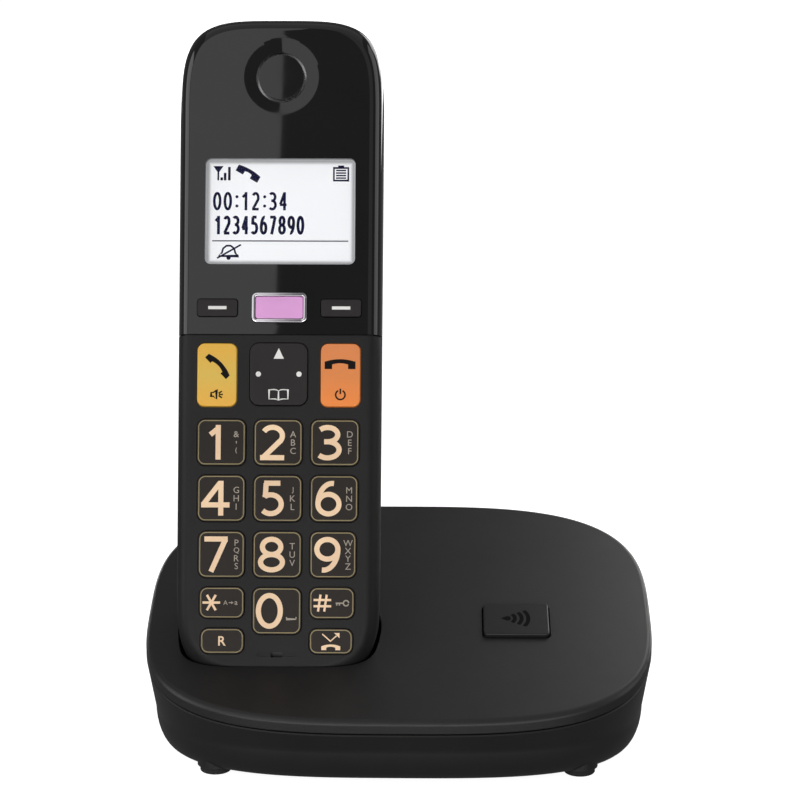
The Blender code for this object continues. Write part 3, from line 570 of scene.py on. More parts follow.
class Print:
    """Flat shapes a hair above a surface, in one mesh. Places are in mm from a centre on the surface."""

    def __init__(self, centre, surface):
        self.centre = centre
        self.low = surface - PRINT_DEPTH
        self.rise = surface + PRINT_RISE
        self.shapes = 0
        self.bm = bmesh.new()

    def next_top(self):
        """The height of the next shape. Shapes that overlap lie at slightly different heights."""
        self.shapes += 1
        return self.rise + self.shapes % 4 * PRINT_STEP

    def corner(self, x, y, z):
        return self.bm.verts.new((self.centre[0] + x * MM, self.centre[1] + y * MM, z))

    def finish(self, faces, material):
        for face in faces:
            face.material_index = material
        bmesh.ops.recalc_face_normals(self.bm, faces=faces)

    def polygon(self, points, material=0):
        top = self.next_top()
        lower = [self.corner(x, y, self.low) for x, y in points]
        upper = [self.corner(x, y, top) for x, y in points]
        faces = [self.bm.faces.new(lower), self.bm.faces.new(upper)]
        for i in range(len(points)):
            j = (i + 1) % len(points)
            faces.append(self.bm.faces.new((lower[i], lower[j], upper[j], upper[i])))
        self.finish(faces, material)

    def disc(self, centre, radius):
        self.polygon([point[:2] for point in circle_ring(centre, radius, 0, 28)])

    def stroke(self, points, width, material=0, closed=False):
        """A line of constant width with square ends, as one strip of quads."""
        count, top = len(points), self.next_top()
        strip = []
        for i, (x, y) in enumerate(points):
            before = points[i - 1] if i or closed else points[i]
            after = points[(i + 1) % count] if i < count - 1 or closed else points[i]
            along = Vector((after[0] - before[0], after[1] - before[1])).normalized()
            into = Vector((x - before[0], y - before[1])).normalized() if before != points[i] else along
            across = Vector((-along.y, along.x)) * width / 2 / max(abs(along.dot(into)), 0.5)
            corners = [(side, z) for side in (1, -1) for z in (self.low, top)]
            strip.append([self.corner(x + s * across.x, y + s * across.y, z) for s, z in corners])
        order = (0, 1, 3, 2)
        pairs = list(zip(strip, strip[1:])) + ([(strip[-1], strip[0])] if closed else [])
        faces = []
        for one, two in pairs:
            for k in range(4):
                a, b = order[k], order[(k + 1) % 4]
                faces.append(self.bm.faces.new((one[a], one[b], two[b], two[a])))
        if not closed:
            faces += [self.bm.faces.new([end[k] for k in order]) for end in (strip[0], strip[-1])]
        self.finish(faces, material)

    def arc(self, centre, radius, start, stop, width, material=0, steps=16):
        self.stroke(bow(centre, (radius, radius), start, stop, steps), width, material)

    def text(self, body, centre, height, bold, material=0):
        """Characters scaled to a height about their centre, thickened by bold, a share of the font's size."""
        curve = bpy.data.curves.new("text", "FONT")
        curve.body = body
        curve.offset = bold
        curve.resolution_u = 5
        holder = link_object("text", curve)
        bpy.context.view_layer.update()
        mesh = bpy.data.meshes.new_from_object(holder.evaluated_get(bpy.context.evaluated_depsgraph_get()))
        bpy.data.objects.remove(holder)
        flat = bmesh.new()
        flat.from_mesh(mesh)
        low = [limit([v.co for v in flat.verts], axis, min) for axis in (0, 1)]
        high = [limit([v.co for v in flat.verts], axis, max) for axis in (0, 1)]
        scale = height * MM / (high[1] - low[1])
        top = self.next_top()
        for v in flat.verts:
            for axis in (0, 1):
                offset = v.co[axis] - (low[axis] + high[axis]) / 2
                v.co[axis] = self.centre[axis] + centre[axis] * MM + offset * scale
            v.co.z = top
        for face in flat.faces:
            face.material_index = material
            if face.normal.z < 0:
                face.normal_flip()
        sides = bmesh.ops.extrude_face_region(flat, geom=flat.faces[:], use_keep_orig=True)["geom"]
        lowered = [v for v in sides if isinstance(v, bmesh.types.BMVert)]
        bmesh.ops.translate(flat, vec=(0, 0, self.low - top), verts=lowered)
        bmesh.ops.recalc_face_normals(flat, faces=flat.faces)
        self.bm.from_mesh(mesh_of(flat))

    def digit(self, character, centre, size, weight):
        """A digit drawn with strokes of one weight inside a box of the given width and height."""
        half = (size[0] / 2 - weight / 2, size[1] / 2 - weight / 2)
        for line in digit_lines(character):
            points = [(centre[0] + x * half[0], centre[1] + y * half[1]) for x, y in line]
            closed = math.dist(points[0], points[-1]) < CLOSED_GAP
            self.stroke(points[:-1] if closed else points, weight, closed=closed)

    def receiver(self, centre, length, turn=0.0, arch=0.10, handle=0.15, cup=0.26, drop=0.20):
        """A telephone receiver: a bowed handle with a cup at each end. Sizes are shares of its length."""
        half, inner = length / 2, length * (0.5 - cup)
        grid = [k / 12 * 2 - 1 for k in range(13)]
        outline = [(half * t, length * arch * (1 - t * t)) for t in grid]
        outline += [(half, -length * drop), (inner, -length * drop)]
        under = length * (arch * (1 - (inner / half) ** 2) - handle)
        outline += [(inner * t, under + length * arch * 0.5 * (1 - t * t)) for t in grid[::-1]]
        outline += [(-inner, -length * drop), (-half, -length * drop)]
        spin = Matrix.Rotation(math.radians(turn), 2)
        placed = [spin @ Vector((x, y + length * (drop - arch) / 2)) for x, y in outline]
        self.polygon([(centre[0] + p.x, centre[1] + p.y) for p in placed])


# ---------------------------------------------------------------- base


def signed_power(value, power):
    return math.copysign(abs(value) ** power, value)


def plan_ring(inset, drop=None, level=None):
    """The base's plan, drawn in by an inset, at a drop below the sloping top or at a level height."""
    ring = []
    for k in range(PLAN_POINTS):
        angle = 2 * math.pi * (k + 0.5) / PLAN_POINTS
        x = (BASE_HALF.x - inset) * signed_power(math.cos(angle), 2 / PLAN_POWER)
        y = (BASE_HALF.y - inset) * signed_power(math.sin(angle), 2 / PLAN_POWER)
        ring.append((x, y, BASE_HEIGHT + y * math.tan(TOP_SLOPE) - drop if level is None else level))
    return ring


def back_depth(y):
    return THICKNESS[0] + (THICKNESS[1] - THICKNESS[0]) * y / LENGTH


def handset_ring(inset, depth):
    """The handset's face outline, drawn in by an inset. depth(y) gives how far behind the face it lies."""
    ring = []
    for end, half in ((1, HALF_TOP), (-1, HALF_BOTTOM)):
        middle = LENGTH - END_DEPTH if end > 0 else END_DEPTH
        quarter = []
        for k in range(END_STEPS):
            angle = (k + 0.5) / END_STEPS * math.pi / 2
            x = (half - inset) * math.cos(angle) ** (2 / END_POWER)
            y = middle + end * (END_DEPTH - inset) * math.sin(angle) ** (2 / END_POWER)
            quarter.append((x, y, -depth(y)))
        arc = quarter + [(-x, y, z) for x, y, z in quarter[::-1]]
        ring += arc if end > 0 else arc[::-1]
    return ring


def face_rings(steps, extra=0.0):
    """The handset's front half from its face down to the parting line, extra deep inside its skin."""
    inset, depth = (size - extra for size in FACE_FILLET)
    rings = []
    for sine, cosine in quarter_turn(steps):
        level = extra + depth * (1 - cosine)
        rings.append(handset_ring(extra + inset * (1 - sine), lambda y, z=level: z))
    rings.append(handset_ring(extra, lambda y: PARTING))
    return rings


def back_rings(steps, extra=0.0):
    """The handset's rear half from its back up to the parting line, extra deep inside its skin."""
    start = PARTING + BACK_STRAIGHT
    rings = []
    for sine, cosine in quarter_turn(steps):
        inset = extra + BACK_FILLET * (1 - sine)
        rings.append(handset_ring(inset, lambda y, s=cosine: start + (back_depth(y) - extra - start) * s))
    rings.append(handset_ring(extra, lambda y: PARTING + SEAM))
    return rings


def grown_handset(room):
    """The whole handset, larger by some room, where it stands."""
    return in_frame(loft(face_rings(8, -room) + back_rings(8, -room)[::-1]), HANDSET)


def bottom_fillet(inset, steps):
    """Rings along the round between the base's wall and its bottom, from the bottom up."""
    across, tall = BOTTOM_FILLET
    rings = []
    for sine, cosine in quarter_turn(steps)[::-1]:
        rings.append(plan_ring(inset + across * (1 - cosine), level=BOTTOM_Z + tall * (1 - sine)))
    return rings


def button_box():
    """The locator button without its flange."""
    low, high = local_box("locator_button", TOP)
    flange = Vector((BUTTON_FLANGE, BUTTON_FLANGE, 0))
    return low + flange, high - flange


def make_top_cover():
    rings = [plan_ring(RIM_RADIUS * (1 - s), RIM_RADIUS * (1 - c)) for s, c in quarter_turn(8)]
    rings += [plan_ring(0, RIM_DROP - RIM_CHAMFER), plan_ring(RIM_CHAMFER, RIM_DROP)]
    rings += [plan_ring(BASE_WALL, RIM_DROP), plan_ring(BASE_WALL, TOP_THICKNESS)]
    wide = 2 * REACH
    above = in_frame(corner_block((-wide, -wide, -TOP_THICKNESS / 2), (wide, wide, 2 * wide)), TOP)
    tub = carve(grown_handset(WELL_ROOM + WELL_WALL), [above])
    low, high = button_box()
    hole = rounded_block(middle_of(low, high), span_of(low, high, SEAM), HOLE_CORNER, -THROUGH, THROUGH)
    cutters = [grown_handset(WELL_ROOM), in_frame(hole, TOP)]
    for side in SIDES:
        low, high = local_box(f"charge_contact_{side}", HANDSET)
        room = Vector((SEAM, 6 * MM, SEAM))
        cutters.append(in_frame(corner_block(low - room, high + room), HANDSET))
    cover = carve(combine(loft(rings), [tub], "UNION"), cutters)
    piece("top_cover_shell", cover, "base", MATTE, ["base_top_cover"], bevel=0.3 * MM)


def make_bottom_cover():
    joint = RIM_DROP + SEAM
    rings = bottom_fillet(WALL_TAPER, 10)
    rings += [plan_ring(0.15 * MM, joint + 0.2 * MM), plan_ring(0.35 * MM, joint)]
    rings.append(plan_ring(BASE_WALL, joint))
    inside = WALL_TAPER + BASE_WALL
    rings.append(plan_ring(inside, level=BOTTOM_Z + BOTTOM_FILLET[1]))
    rings.append(plan_ring(inside + BOTTOM_FILLET[0], level=BOTTOM_Z + BASE_WALL))
    pads, cutters = [], []
    for name in FEET:
        low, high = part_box("foot_" + name)
        radius = (high.x - low.x) / 2 + PAD_MARGIN
        levels = (BOTTOM_Z, BOTTOM_Z + PAD_HEIGHT)
        pads.append(loft([circle_ring(middle_of(low, high), radius, z, 48) for z in levels]))
    for number in (1, 2, 3):
        low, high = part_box(f"base_screw_{number}")
        levels = (0, low.z + 1.2 * MM)
        cutters.append(loft([circle_ring(middle_of(low, high), BASE_SCREW_WELL, z, 32) for z in levels]))
    for name in ("line_jack", "power_jack"):
        low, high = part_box(name)
        start = (low.x - SEAM, high.y - 8 * MM, low.z - SEAM)
        cutters.append(corner_block(start, (high.x + SEAM, 60 * MM, high.z + SEAM)))
    middle, size = LABEL_AREA
    cutters.append(rounded_block(middle, size, 2 * MM, BOTTOM_Z - MM, BOTTOM_Z + LABEL_DEPTH))
    cover = carve(combine(loft(rings), pads, "UNION"), cutters)
    piece("bottom_cover_shell", cover, "base", MATTE, ["base_bottom_cover"], bevel=0.15 * MM)


def make_feet():
    for name in FEET:
        low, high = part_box("foot_" + name)
        foot = soft_disc(middle_of(low, high), (high.x - low.x) / 2, -high.z, -low.z, 0.35 * MM, 48)
        foot = in_frame(foot, Matrix.Scale(-1, 4, (0, 0, 1)))
        bmesh.ops.reverse_faces(foot, faces=foot.faces)
        piece(f"rubber_foot_{name}", foot, "base", RUBBER, ["foot_" + name])


def make_locator_button():
    low, high = button_box()
    middle = middle_of(low, high)
    cap = soft_block(middle, span_of(low, high), 1.1 * MM, -TOP_THICKNESS - MM, high.z, 0.35 * MM)
    piece("locator_cap", cap, "locator_button", BUTTON, ["locator_button"], TOP)
    mark = Print(middle, high.z)
    mark.polygon([(-3.6, 0), (-2.2, 0.95), (-1.5, 0.8), (-1.25, 0), (-1.5, -0.8), (-2.2, -0.95)])
    for radius, reach in ((2.7, 40), (4.3, 36), (5.9, 34)):
        mark.arc((-3.0, 0), radius, -reach, reach, 0.95)
    print_piece("locator_mark", mark, "locator_button", DARK, TOP)


def make_jack_details():
    low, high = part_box("line_jack")
    wires = []
    for k in range(JACK_WIRES):
        x = (low.x + high.x) / 2 + (k - (JACK_WIRES - 1) / 2) * WIRE_PITCH
        start = (x - WIRE_WIDTH / 2, high.y - 9.5 * MM, high.z - 2.6 * MM)
        wires.append(corner_block(start, (x + WIRE_WIDTH / 2, high.y - 3 * MM, high.z - 1.9 * MM)))
    piece("line_jack_wires", merge(wires), "base", GOLD, ())


def make_base_contacts():
    for side in SIDES:
        node = f"charge_contact_{side}"
        low, high = local_box(node, HANDSET)
        middle = ((low.x + high.x) / 2, -(low.z + high.z) / 2)
        size = (high.x - low.x, high.z - low.z)
        block = soft_block(middle, size, 0.7 * MM, low.y, high.y, 0.5 * MM)
        stand = HANDSET @ Matrix.Rotation(-math.pi / 2, 4, "X")
        piece(f"contact_strip_{side}", block, node, GOLD, [node], stand)


# ---------------------------------------------------------------- handset housing


def key_box(node):
    """(centre, size of the cap, height of its top) in the handset's frame."""
    low, high = local_box(node, HANDSET)
    return middle_of(low, high), span_of(low, high, -FLANGE), high.z


def key_print(node):
    """An empty print on a key's top."""
    centre, _, top = key_box(node)
    return Print(centre, top)


NUMBER_KEYS = [f"key_{digit}" for digit in range(10)] + ["key_star", "key_hash", "key_recall", "key_block"]
KEY_CORNERS = {name: 1.9 * MM for name in NUMBER_KEYS}
KEY_CORNERS.update(
    talk_key=1.7 * MM,
    off_key=1.7 * MM,
    navigator_key=2.2 * MM,
    centre_key_frame=1.2 * MM,
    soft_key_left=0.7 * MM,
    soft_key_right=0.7 * MM,
)


def key_holes(above_split):
    """One cutter for the keys above the split between the casings, or for those below it."""
    holes = []
    for name, corner in KEY_CORNERS.items():
        centre, size, _ = key_box(name)
        if (centre[1] > SPLIT_Y) == above_split:
            grown = [side + 2 * KEY_GAP for side in size]
            holes.append(rounded_block(centre, grown, corner + KEY_GAP, -THROUGH, THROUGH))
    return merge(holes)


def face_shell():
    return loft(face_rings(12) + face_rings(4, SHELL)[::-1])


def make_keypad_casing():
    x, y = middle_of(*local_box("microphone", HANDSET))
    slot = (x, y - 0.4 * MM)
    above = corner_block((-REACH, SPLIT_Y - SEAM / 2, -REACH), (REACH, 6 * REACH, REACH))
    cutters = [above, key_holes(False)]
    cutters.append(rounded_block(slot, (9 * MM, 0.8 * MM), 0.35 * MM, -0.3 * MM, THROUGH))
    cutters.append(rounded_block(slot, (2.8 * MM, 1.2 * MM), 0.3 * MM, -THROUGH, 2 * THROUGH))
    tongue_start = (-TONGUE_HALF, SPLIT_Y - 0.6 * MM, -0.9 * SHELL)
    tongue = corner_block(tongue_start, (TONGUE_HALF, SPLIT_Y + 0.4 * SEAM, -0.45 * SHELL))
    casing = combine(carve(face_shell(), cutters), [tongue], "UNION")
    piece("keypad_shell", casing, "handset", KEYPAD, ["keypad_casing"], HANDSET, CASING_BEVEL)


def make_display_casing():
    ear = middle_of(*local_box("earpiece_cap", HANDSET))
    boss = loft([circle_ring(ear, DISH_RADIUS + 1.2 * MM, z, 96) for z in (-3.4 * MM, -SHELL / 2)])
    lip = 0.5 * MM
    run = (DISH_RADIUS - THROAT_RADIUS) * lip / DISH_DEPTH
    profile = ((THROAT_RADIUS, -DISH_DEPTH), (DISH_RADIUS + run, lip))
    dish = loft([circle_ring(ear, radius, z, 144) for radius, z in profile])
    throat = loft([circle_ring(ear, 5.9 * MM, z, 96) for z in (-THROUGH, MM)])
    low, high = local_box("display_window", HANDSET)
    window = rounded_block(middle_of(low, high), span_of(low, high, SEAM), HOLE_CORNER, -THROUGH, THROUGH)
    below = corner_block((-REACH, -2 * REACH, -REACH), (REACH, SPLIT_Y + SEAM / 2, REACH))
    casing = carve(combine(face_shell(), [boss], "UNION"), [below, dish, throat, window, key_holes(True)])
    piece("display_shell", casing, "handset", GLOSS, ["display_casing"], HANDSET, CASING_BEVEL)


def make_earpiece():
    low, high = local_box("earpiece_cap", HANDSET)
    cap = soft_disc(middle_of(low, high), (high.x - low.x) / 2, low.z, high.z, 0.14 * MM, 96)
    piece("earpiece_disc", cap, "handset", GLOSS, ["earpiece_cap"], HANDSET)


def make_rear_casing():
    shell = loft(back_rings(14) + back_rings(5, SHELL)[::-1])
    low, high = local_box("battery_door", HANDSET)
    middle, size = middle_of(low, high), span_of(low, high, SEAM)
    tray = corner_block(
        (middle[0] - size[0] / 2 - MM, middle[1] - size[1] / 2 - MM, -back_depth(high.y) + SHELL / 2),
        (middle[0] + size[0] / 2 + MM, middle[1] + size[1] / 2 + MM, BAY_ROOF + 0.7 * MM),
    )
    cutters = [rounded_block(middle, size, 1.2 * MM, -REACH, BAY_ROOF)]
    for side in SIDES:
        low, high = local_box(f"handset_screw_{side}", HANDSET)
        levels = (-REACH, low.z + 1.7 * MM)
        cutters.append(loft([circle_ring(middle_of(low, high), HANDSET_SCREW_WELL, z, 32) for z in levels]))
        low, high = local_box(f"handset_contact_{side}", HANDSET)
        room = 2 * SEAM
        start = (low.x - room, -THROUGH, low.z - room)
        cutters.append(corner_block(start, (high.x + room, 4 * MM, high.z + room)))
    slots = []
    for row in range(RINGER_SLOTS):
        middle = (0, RINGER_START + row * RINGER_PITCH)
        slots.append(rounded_block(middle, (12 * MM, 1.1 * MM), 0.5 * MM, -REACH, -17.5 * MM))
    casing = carve(combine(shell, [tray], "UNION"), cutters + [merge(slots)])
    piece("rear_shell", casing, "handset", MATTE, ["rear_casing"], HANDSET, bevel=0.15 * MM)


def make_battery_door():
    low, high = local_box("battery_door", HANDSET)
    x, y = middle_of(low, high)
    size = span_of(low, high)
    door = soft_block((0, 0), size, 1.0 * MM, 0, DOOR_THICKNESS, 0.2 * MM)
    grooves = []
    for row in range(DOOR_GROOVES):
        middle = (0, size[1] / 2 - 7 * MM - row * 1.8 * MM)
        grooves.append(rounded_block(middle, (11 * MM, 0.8 * MM), 0.35 * MM, MM, 3 * MM))
    door = carve(door, [merge(grooves)])
    tilt = math.atan2(THICKNESS[0] - THICKNESS[1], LENGTH)
    turn = Matrix.Rotation(math.pi, 4, "Y") @ Matrix.Rotation(-tilt, 4, "X")
    place = HANDSET @ Matrix.Translation((x, y, -back_depth(y) + DOOR_THICKNESS)) @ turn
    piece("door_panel", door, "battery_door", MATTE, ["battery_door"], place, bevel=0.08 * MM)


def make_display():
    low, high = local_box("display_window", HANDSET)
    middle = middle_of(low, high)
    pane = soft_block(middle, span_of(low, high), 1.1 * MM, low.z, high.z, 0.15 * MM)
    piece("window_pane", pane, "handset", CLEAR, ["display_window"], HANDSET)
    low, high = local_box("display_module", HANDSET)
    film = soft_block(middle, span_of(low, high), 0.5 * MM, low.z, high.z, 0.1 * MM)
    piece("display_film", film, "handset", SCREEN, ["display_module"], HANDSET)

    ink = Print(middle, high.z)
    draw_status_row(ink)
    draw_numbers(ink)
    draw_muted_bell(ink)
    print_piece("display_ink", ink, "handset", INK)


def draw_status_row(ink):
    """Aerial with three bars, receiver, battery."""
    ink.polygon([(-16.0, 11.0), (-13.6, 11.0), (-14.8, 9.3)])
    ink.stroke([(-14.8, 10.6), (-14.8, 7.6)], 0.42)
    for x, top in ((-14.0, 8.3), (-13.2, 9.4), (-12.2, 10.8)):
        ink.stroke([(x, 7.6), (x, top)], 0.6)
    ink.receiver((-7.7, 9.35), 5.9, -30, arch=0.06, handle=0.17, cup=0.34, drop=0.27)
    ink.stroke([(12.5, 10.6), (15.9, 10.6), (15.9, 7.6), (12.5, 7.6)], 0.4, closed=True)
    ink.stroke([(13.5, 10.95), (14.9, 10.95)], 0.5)
    for row in range(4):
        y = 8.2 + row * 0.6
        ink.stroke([(13.0, y), (15.4, y)], 0.34)


def draw_numbers(ink):
    """A call timer over a number."""
    x = -15.0
    for character in "00:12:34":
        if character == ":":
            for y in (1.5, 3.7):
                ink.disc((x - 0.35, y), 0.36)
            x += 1.55
        else:
            ink.digit(character, (x, 2.65), (2.0, 4.4), 0.62)
            x += 2.5
    for place, character in enumerate("1234567890"):
        ink.digit(character, (-14.85 + 2.17 * place, -3.05), (1.85, 4.5), 0.68)


def draw_muted_bell(ink):
    """A line across the display, with a struck-out bell below it."""
    ink.stroke([(-16.1, -6.8), (16.0, -6.8)], 0.27)
    left = [(-14.6, -10.4), (-13.8, -9.7), (-13.5, -8.6), (-12.7, -7.95)]
    right = [(-11.7, -7.95), (-10.9, -8.6), (-10.6, -9.7), (-9.8, -10.4)]
    ink.stroke(left + right, 0.42, closed=True)
    ink.disc((-12.2, -10.8), 0.5)
    ink.stroke([(-14.9, -10.9), (-9.3, -7.7)], 0.4)


# ---------------------------------------------------------------- keys


def key_cap(node, look, body=None, edge=EDGE):
    """A key as the CAD has it, with a fine rounded rim."""
    centre, size, top = key_box(node)
    low, _ = local_box(node, HANDSET)
    flange_top = low.z + FLANGE_HEIGHT
    profile = [(-FLANGE, low.z), (-FLANGE, flange_top), (0, flange_top)]
    profile += [(inset, top - drop) for inset, drop in rim_steps(edge)]
    rings = [inset_ring(centre, size, KEY_CORNERS[node], inset, z) for inset, z in profile]
    piece(node + "_cap", loft(rings), body or node, look, [node], HANDSET)


def key_outline(node):
    centre, size, top = key_box(node)
    outer, inner = OUTLINE
    profile = ((outer, -PRINT_DEPTH), (outer, PRINT_RISE), (inner, PRINT_RISE), (inner, -PRINT_DEPTH))
    rings = [inset_ring(centre, size, KEY_CORNERS[node], inset, top + z) for inset, z in profile]
    band = loft(rings, closed=True)
    piece(node + "_outline", band, node, OUTLINE_GOLD, (), HANDSET, normals=False)


# Prints on the keys, in mm from a key's centre
LETTERS = {2: "ABC", 3: "DEF", 4: "GHI", 5: "JKL", 6: "MNO", 7: "PQRS", 8: "TUV", 9: "WXYZ"}
LETTERS_X = 3.5
SMALL = 1  # the second material, of the small marks beside a digit
RING_WIDTH = 0.75
LOWER_MARK_Y = -4.6
DIGIT_HEIGHT = 8.3
DIGIT_WEIGHT = 1.2
DIGIT_WIDTHS = {0: 6.3, 1: 4.4, 2: 6.2, 3: 6.0, 4: 7.0, 5: 5.7, 6: 6.3, 7: 6.1, 8: 6.3, 9: 6.3}


def print_number(digit):
    node = f"key_{digit}"
    marks = key_print(node)
    x = -1.7 if digit == 0 else -1.3
    marks.digit(str(digit), (x, 0), (DIGIT_WIDTHS[digit], DIGIT_HEIGHT), DIGIT_WEIGHT)
    if digit == 0:
        marks.stroke([(2.3, -1.4), (2.3, -1.9), (4.5, -1.9), (4.5, -1.4)], 0.28, SMALL)
    elif digit == 1:
        for row, sign in enumerate("&'("):
            marks.text(sign, (LETTERS_X, 1.9 - 1.9 * row), 0.6 if sign == "'" else 1.4, 0.01, SMALL)
    else:
        letters = LETTERS[digit]
        pitch = 1.80 if len(letters) == 4 else 1.95
        for row, letter in enumerate(letters):
            y = ((len(letters) - 1) / 2 - row) * pitch
            marks.text(letter, (LETTERS_X, y), 1.45, 0.0, SMALL)
    print_piece(node + "_print", marks, node, [PEACH, GREY])


def print_star():
    marks = key_print("key_star")
    hub_x, reach = -2.4, 2.05
    for turn in (0, 60, 120):
        x, y = reach * math.cos(math.radians(turn)), reach * math.sin(math.radians(turn))
        marks.stroke([(hub_x - x, -y), (hub_x + x, y)], 0.55)
    marks.text("A", (0.9, 0), 1.05, 0.0, SMALL)
    marks.stroke([(1.65, 0), (2.35, 0)], 0.2, SMALL)
    marks.polygon([(2.25, 0.35), (2.25, -0.35), (2.75, 0)], SMALL)
    marks.text("a", (3.35, -0.1), 0.85, 0.01, SMALL)
    print_piece("key_star_print", marks, "key_star", [PEACH, GREY])


def print_hash():
    marks = key_print("key_hash")
    hub_x, lean = -2.2, 0.28
    for offset in (-0.72, 0.72):
        x = hub_x + offset
        marks.stroke([(x - lean, -1.95), (x + lean, 1.95)], 0.52)
        marks.stroke([(hub_x - 2.05, offset), (hub_x + 2.05, offset)], 0.52)
    marks.arc((3.3, 0), 0.62, 0, 340, 0.3, SMALL, 20)
    marks.stroke([(0.9, 0), (2.7, 0)], 0.3, SMALL)
    for x in (1.15, 1.75):
        marks.stroke([(x, 0), (x, -0.55)], 0.3, SMALL)
    print_piece("key_hash_print", marks, "key_hash", [PEACH, GREY])


def print_last_row():
    marks = key_print("key_recall")
    marks.text("R", (0, 0), 2.2, 0.014)
    print_piece("key_recall_print", marks, "key_recall", PEACH)
    marks = key_print("key_block")
    marks.receiver((0, -1.35), 4.4)
    marks.stroke([(-2.0, 1.7), (-0.1, 0.05), (1.3, 1.3)], 0.3)
    marks.polygon([(0.75, 1.95), (2.0, 1.95), (2.0, 0.75)])
    print_piece("key_block_print", marks, "key_block", PEACH)


def make_number_keys():
    for node in NUMBER_KEYS:
        key_cap(node, KEYCAP)
        key_outline(node)
    for digit in range(10):
        print_number(digit)
    print_star()
    print_hash()
    print_last_row()


def make_call_keys():
    key_cap("talk_key", YELLOW, edge=0.3 * MM)
    marks = key_print("talk_key")
    marks.receiver((0.35, 2.2), 7.1, -46, handle=0.17, drop=0.17)
    horn = [(-1.3, 0.45), (-0.75, 0.45), (-0.05, 1.1), (-0.05, -1.1), (-0.75, -0.45), (-1.3, -0.45)]
    marks.stroke([(x, y + LOWER_MARK_Y) for x, y in horn], 0.34, closed=True)
    for turn in (-32, 0, 32):
        x, y = math.cos(math.radians(turn)), math.sin(math.radians(turn))
        wave = [(x * reach, y * reach + LOWER_MARK_Y) for reach in (0.5, 1.45)]
        marks.stroke(wave, 0.34)
    print_piece("talk_key_print", marks, "talk_key", BLACK)

    key_cap("off_key", ORANGE, edge=0.3 * MM)
    marks = key_print("off_key")
    marks.receiver((-0.1, 2.6), 7.2, arch=0.08, handle=0.15, cup=0.24, drop=0.24)
    marks.arc((0, LOWER_MARK_Y), 1.1, 118, 422, 0.36, steps=24)
    marks.stroke([(0, -4.4), (0, -3.15)], 0.36)
    print_piece("off_key_print", marks, "off_key", BLACK)


def make_navigator():
    key_cap("navigator_key", CONTROL, "navigator", edge=0.3 * MM)
    marks = key_print("navigator_key")
    marks.polygon([(-1.2, 3.6), (1.2, 3.6), (0, 6.1)])
    page = [(0, 0.95), (0.5, 1.22), (1.1, 1.28), (2.2, 1.2)]
    page += [(2.2, -0.95), (1.1, -0.9), (0.5, -0.98), (0, -1.25)]
    for side in (-1, 1):
        marks.disc((side * 4.75, 0), 0.62)
        marks.stroke([(side * x, y - 4.9) for x, y in page], 0.24, closed=True)
    print_piece("navigator_print", marks, "navigator", WHITE)


def make_upper_keys():
    for side in SIDES:
        node = f"soft_key_{side}"
        key_cap(node, CONTROL, edge=0.2 * MM)
        dash = key_print(node)
        dash.stroke([(-2.15, 0), (2.15, 0)], 0.75)
        print_piece(node + "_print", dash, node, WHITE)
    node = "centre_key_frame"
    centre, size, top = key_box(node)
    profile = [(0, -2.5), (0, 0.51), (0.02, 0.57), (0.09, 0.6)]
    profile += [(0.66, 0.6), (0.73, 0.57), (RING_WIDTH, 0.51), (RING_WIDTH, -2.5)]
    rings = []
    for inset, z in profile:
        rings.append(inset_ring(centre, size, KEY_CORNERS[node], inset * MM, top + (z - 0.6) * MM))
    piece("centre_key_ring", loft(rings, closed=True), "centre_key", CHROME, [node], HANDSET)
    inner = [side - 2 * RING_WIDTH * MM - 0.2 * MM for side in size]
    lens = soft_block(centre, inner, 0.6 * MM, top - 1.2 * MM, top - 0.1 * MM, 0.2 * MM)
    piece("centre_key_insert", lens, "centre_key", LILAC, ["centre_key_lens"], HANDSET)


# ---------------------------------------------------------------- pieces kept from the CAD


def dress_cad_nodes():
    looks = {
        "base_circuit_board": BOARD,
        "handset_circuit_board": BOARD,
        "base_radio_shield": STEEL,
        "earpiece_receiver": STEEL,
        "ringer_speaker": STEEL,
        "battery_end_plate": STEEL,
        "microphone": SOCKET,
        "line_jack": SOCKET,
        "power_jack": SOCKET,
        "locator_switch": SOCKET,
        "keypad_mat": SILICONE,
        "navigator_pad": SILICONE,
    }
    looks.update({f"base_screw_{number}": STEEL for number in (1, 2, 3)})
    for side in SIDES:
        looks[f"battery_spring_{side}"] = STEEL
        looks[f"handset_screw_{side}"] = STEEL
        looks[f"handset_contact_{side}"] = GOLD
        looks[f"battery_{side}"] = SLEEVE
    for name, look in looks.items():
        mesh = frame["nodes"][name].data
        mesh.materials.clear()
        mesh.materials.append(look)


# ---------------------------------------------------------------- stage


CAMERA_AIM = Vector((0.0001, 0, 0.08047))
CAMERA_DISTANCE = 0.61628
CAMERA_TURN = math.radians(0.89)
CAMERA_RISE = math.radians(13.49)
CAMERA_LENS = 117.68
STAGE_RADIUS = 9.0
STAGE_HEIGHT = 12.0
FLOOR_GAP = 0.1 * MM


def make_camera():
    data = bpy.data.cameras.new("camera")
    data.lens = CAMERA_LENS
    data.sensor_width = 36
    data.clip_end = 50
    camera = link_object("camera", data)
    level = math.cos(CAMERA_RISE)
    away = Vector((math.sin(CAMERA_TURN) * level, -math.cos(CAMERA_TURN) * level, math.sin(CAMERA_RISE)))
    camera.location = CAMERA_AIM + away * CAMERA_DISTANCE
    camera.rotation_euler = away.to_track_quat("Z", "Y").to_euler()
    bpy.context.scene.camera = camera


def soft_light(name, centre, aim, size, radiance):
    """A rectangular light of even radiance."""
    data = bpy.data.lights.new(name, "AREA")
    data.shape = "RECTANGLE"
    data.size, data.size_y = size
    data.energy = radiance * math.pi * size[0] * size[1]
    light = link_object(name, data)
    light.location = centre
    light.rotation_euler = (Vector(centre) - Vector(aim)).to_track_quat("Z", "Y").to_euler()
    light.visible_camera = False


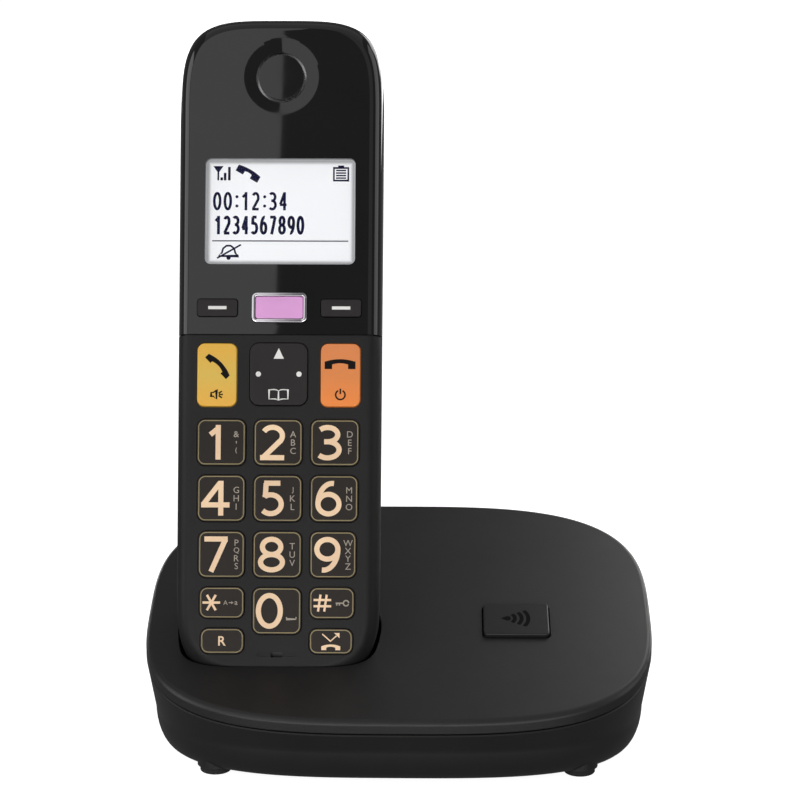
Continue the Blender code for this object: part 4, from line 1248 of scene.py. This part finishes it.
def make_lights():
    soft_light("overhead", (0, 0.1, 1.8), (0, 0, 0), (2.4, 2.0), 0.32)
    soft_light("left_strip", (-1.1, -0.25, 0.4), (0, -0.1, 0.2), (0.8, 0.9), 1.9)
    soft_light("low_front", (0, -1.3, 0.12), (0, 0, 0.12), (2.4, 0.5), 3.1)
    soft_light("low_back", (0.2, 1.5, 0.2), (0.2, 0, 0.2), (2.4, 0.4), 4.2)
    soft_light("front_left_card", (-0.698, -1.0, 1.15), (-0.698, 0, 1.15), (1.2, 1.5), 1.0)
    soft_light("front_right_card", (0.70, -1.0, 1.15), (0.70, 0, 1.15), (1.1, 1.5), 0.28)
    soft_light("right_strip", (1.1, 0.1, 0.55), (0, 0, 0.25), (0.7, 1.0), 1.2)
    soft_light("near_right_card", (0.17, 0.24, 0.24), (0.05, 0.02, 0.03), (0.16, 0.16), 3.2)
    world = bpy.data.worlds.new("world")
    world.use_nodes = True
    background = world.node_tree.nodes["Background"]
    set_sockets(background, {"Color": (0.98, 0.98, 1.0, 1), "Strength": 0.16})
    bpy.context.scene.world = world


def make_floor():
    """A pale floor inside a wide round wall of the same tone, which leaves the object's own light alone."""
    bm = bmesh.new()
    bmesh.ops.create_cone(
        bm, cap_ends=True, segments=96, radius1=STAGE_RADIUS, radius2=STAGE_RADIUS, depth=STAGE_HEIGHT
    )
    bmesh.ops.translate(bm, vec=(0, 0, STAGE_HEIGHT / 2 - FLOOR_GAP), verts=bm.verts)
    mesh = mesh_of(bm, "floor")
    made, nodes, links, shader = node_material("pale_floor")
    drift = noise(nodes, links, 0.8)
    tone = ramp(nodes, links, drift.outputs["Fac"], (0.50, 0.50, 0.505), (0.52, 0.52, 0.52))
    links.new(tone.outputs["Color"], shader.inputs["Base Color"])
    set_sockets(shader, {"Roughness": 0.9, "Specular IOR Level": 0.1})
    set_sockets(shader, {"Emission Color": (1, 1, 1, 1), "Emission Strength": 0.94})
    mesh.materials.append(made)
    floor = link_object("floor", mesh)
    floor.visible_diffuse = False
    floor.visible_glossy = False
    floor.visible_shadow = False


bpy.context.scene.view_settings.view_transform = "Standard"
make_camera()
make_lights()
make_floor()
make_top_cover()
make_bottom_cover()
make_feet()
make_locator_button()
make_jack_details()
make_base_contacts()
make_keypad_casing()
make_display_casing()
make_earpiece()
make_rear_casing()
make_battery_door()
make_display()
make_number_keys()
make_call_keys()
make_navigator()
make_upper_keys()
dress_cad_nodes()
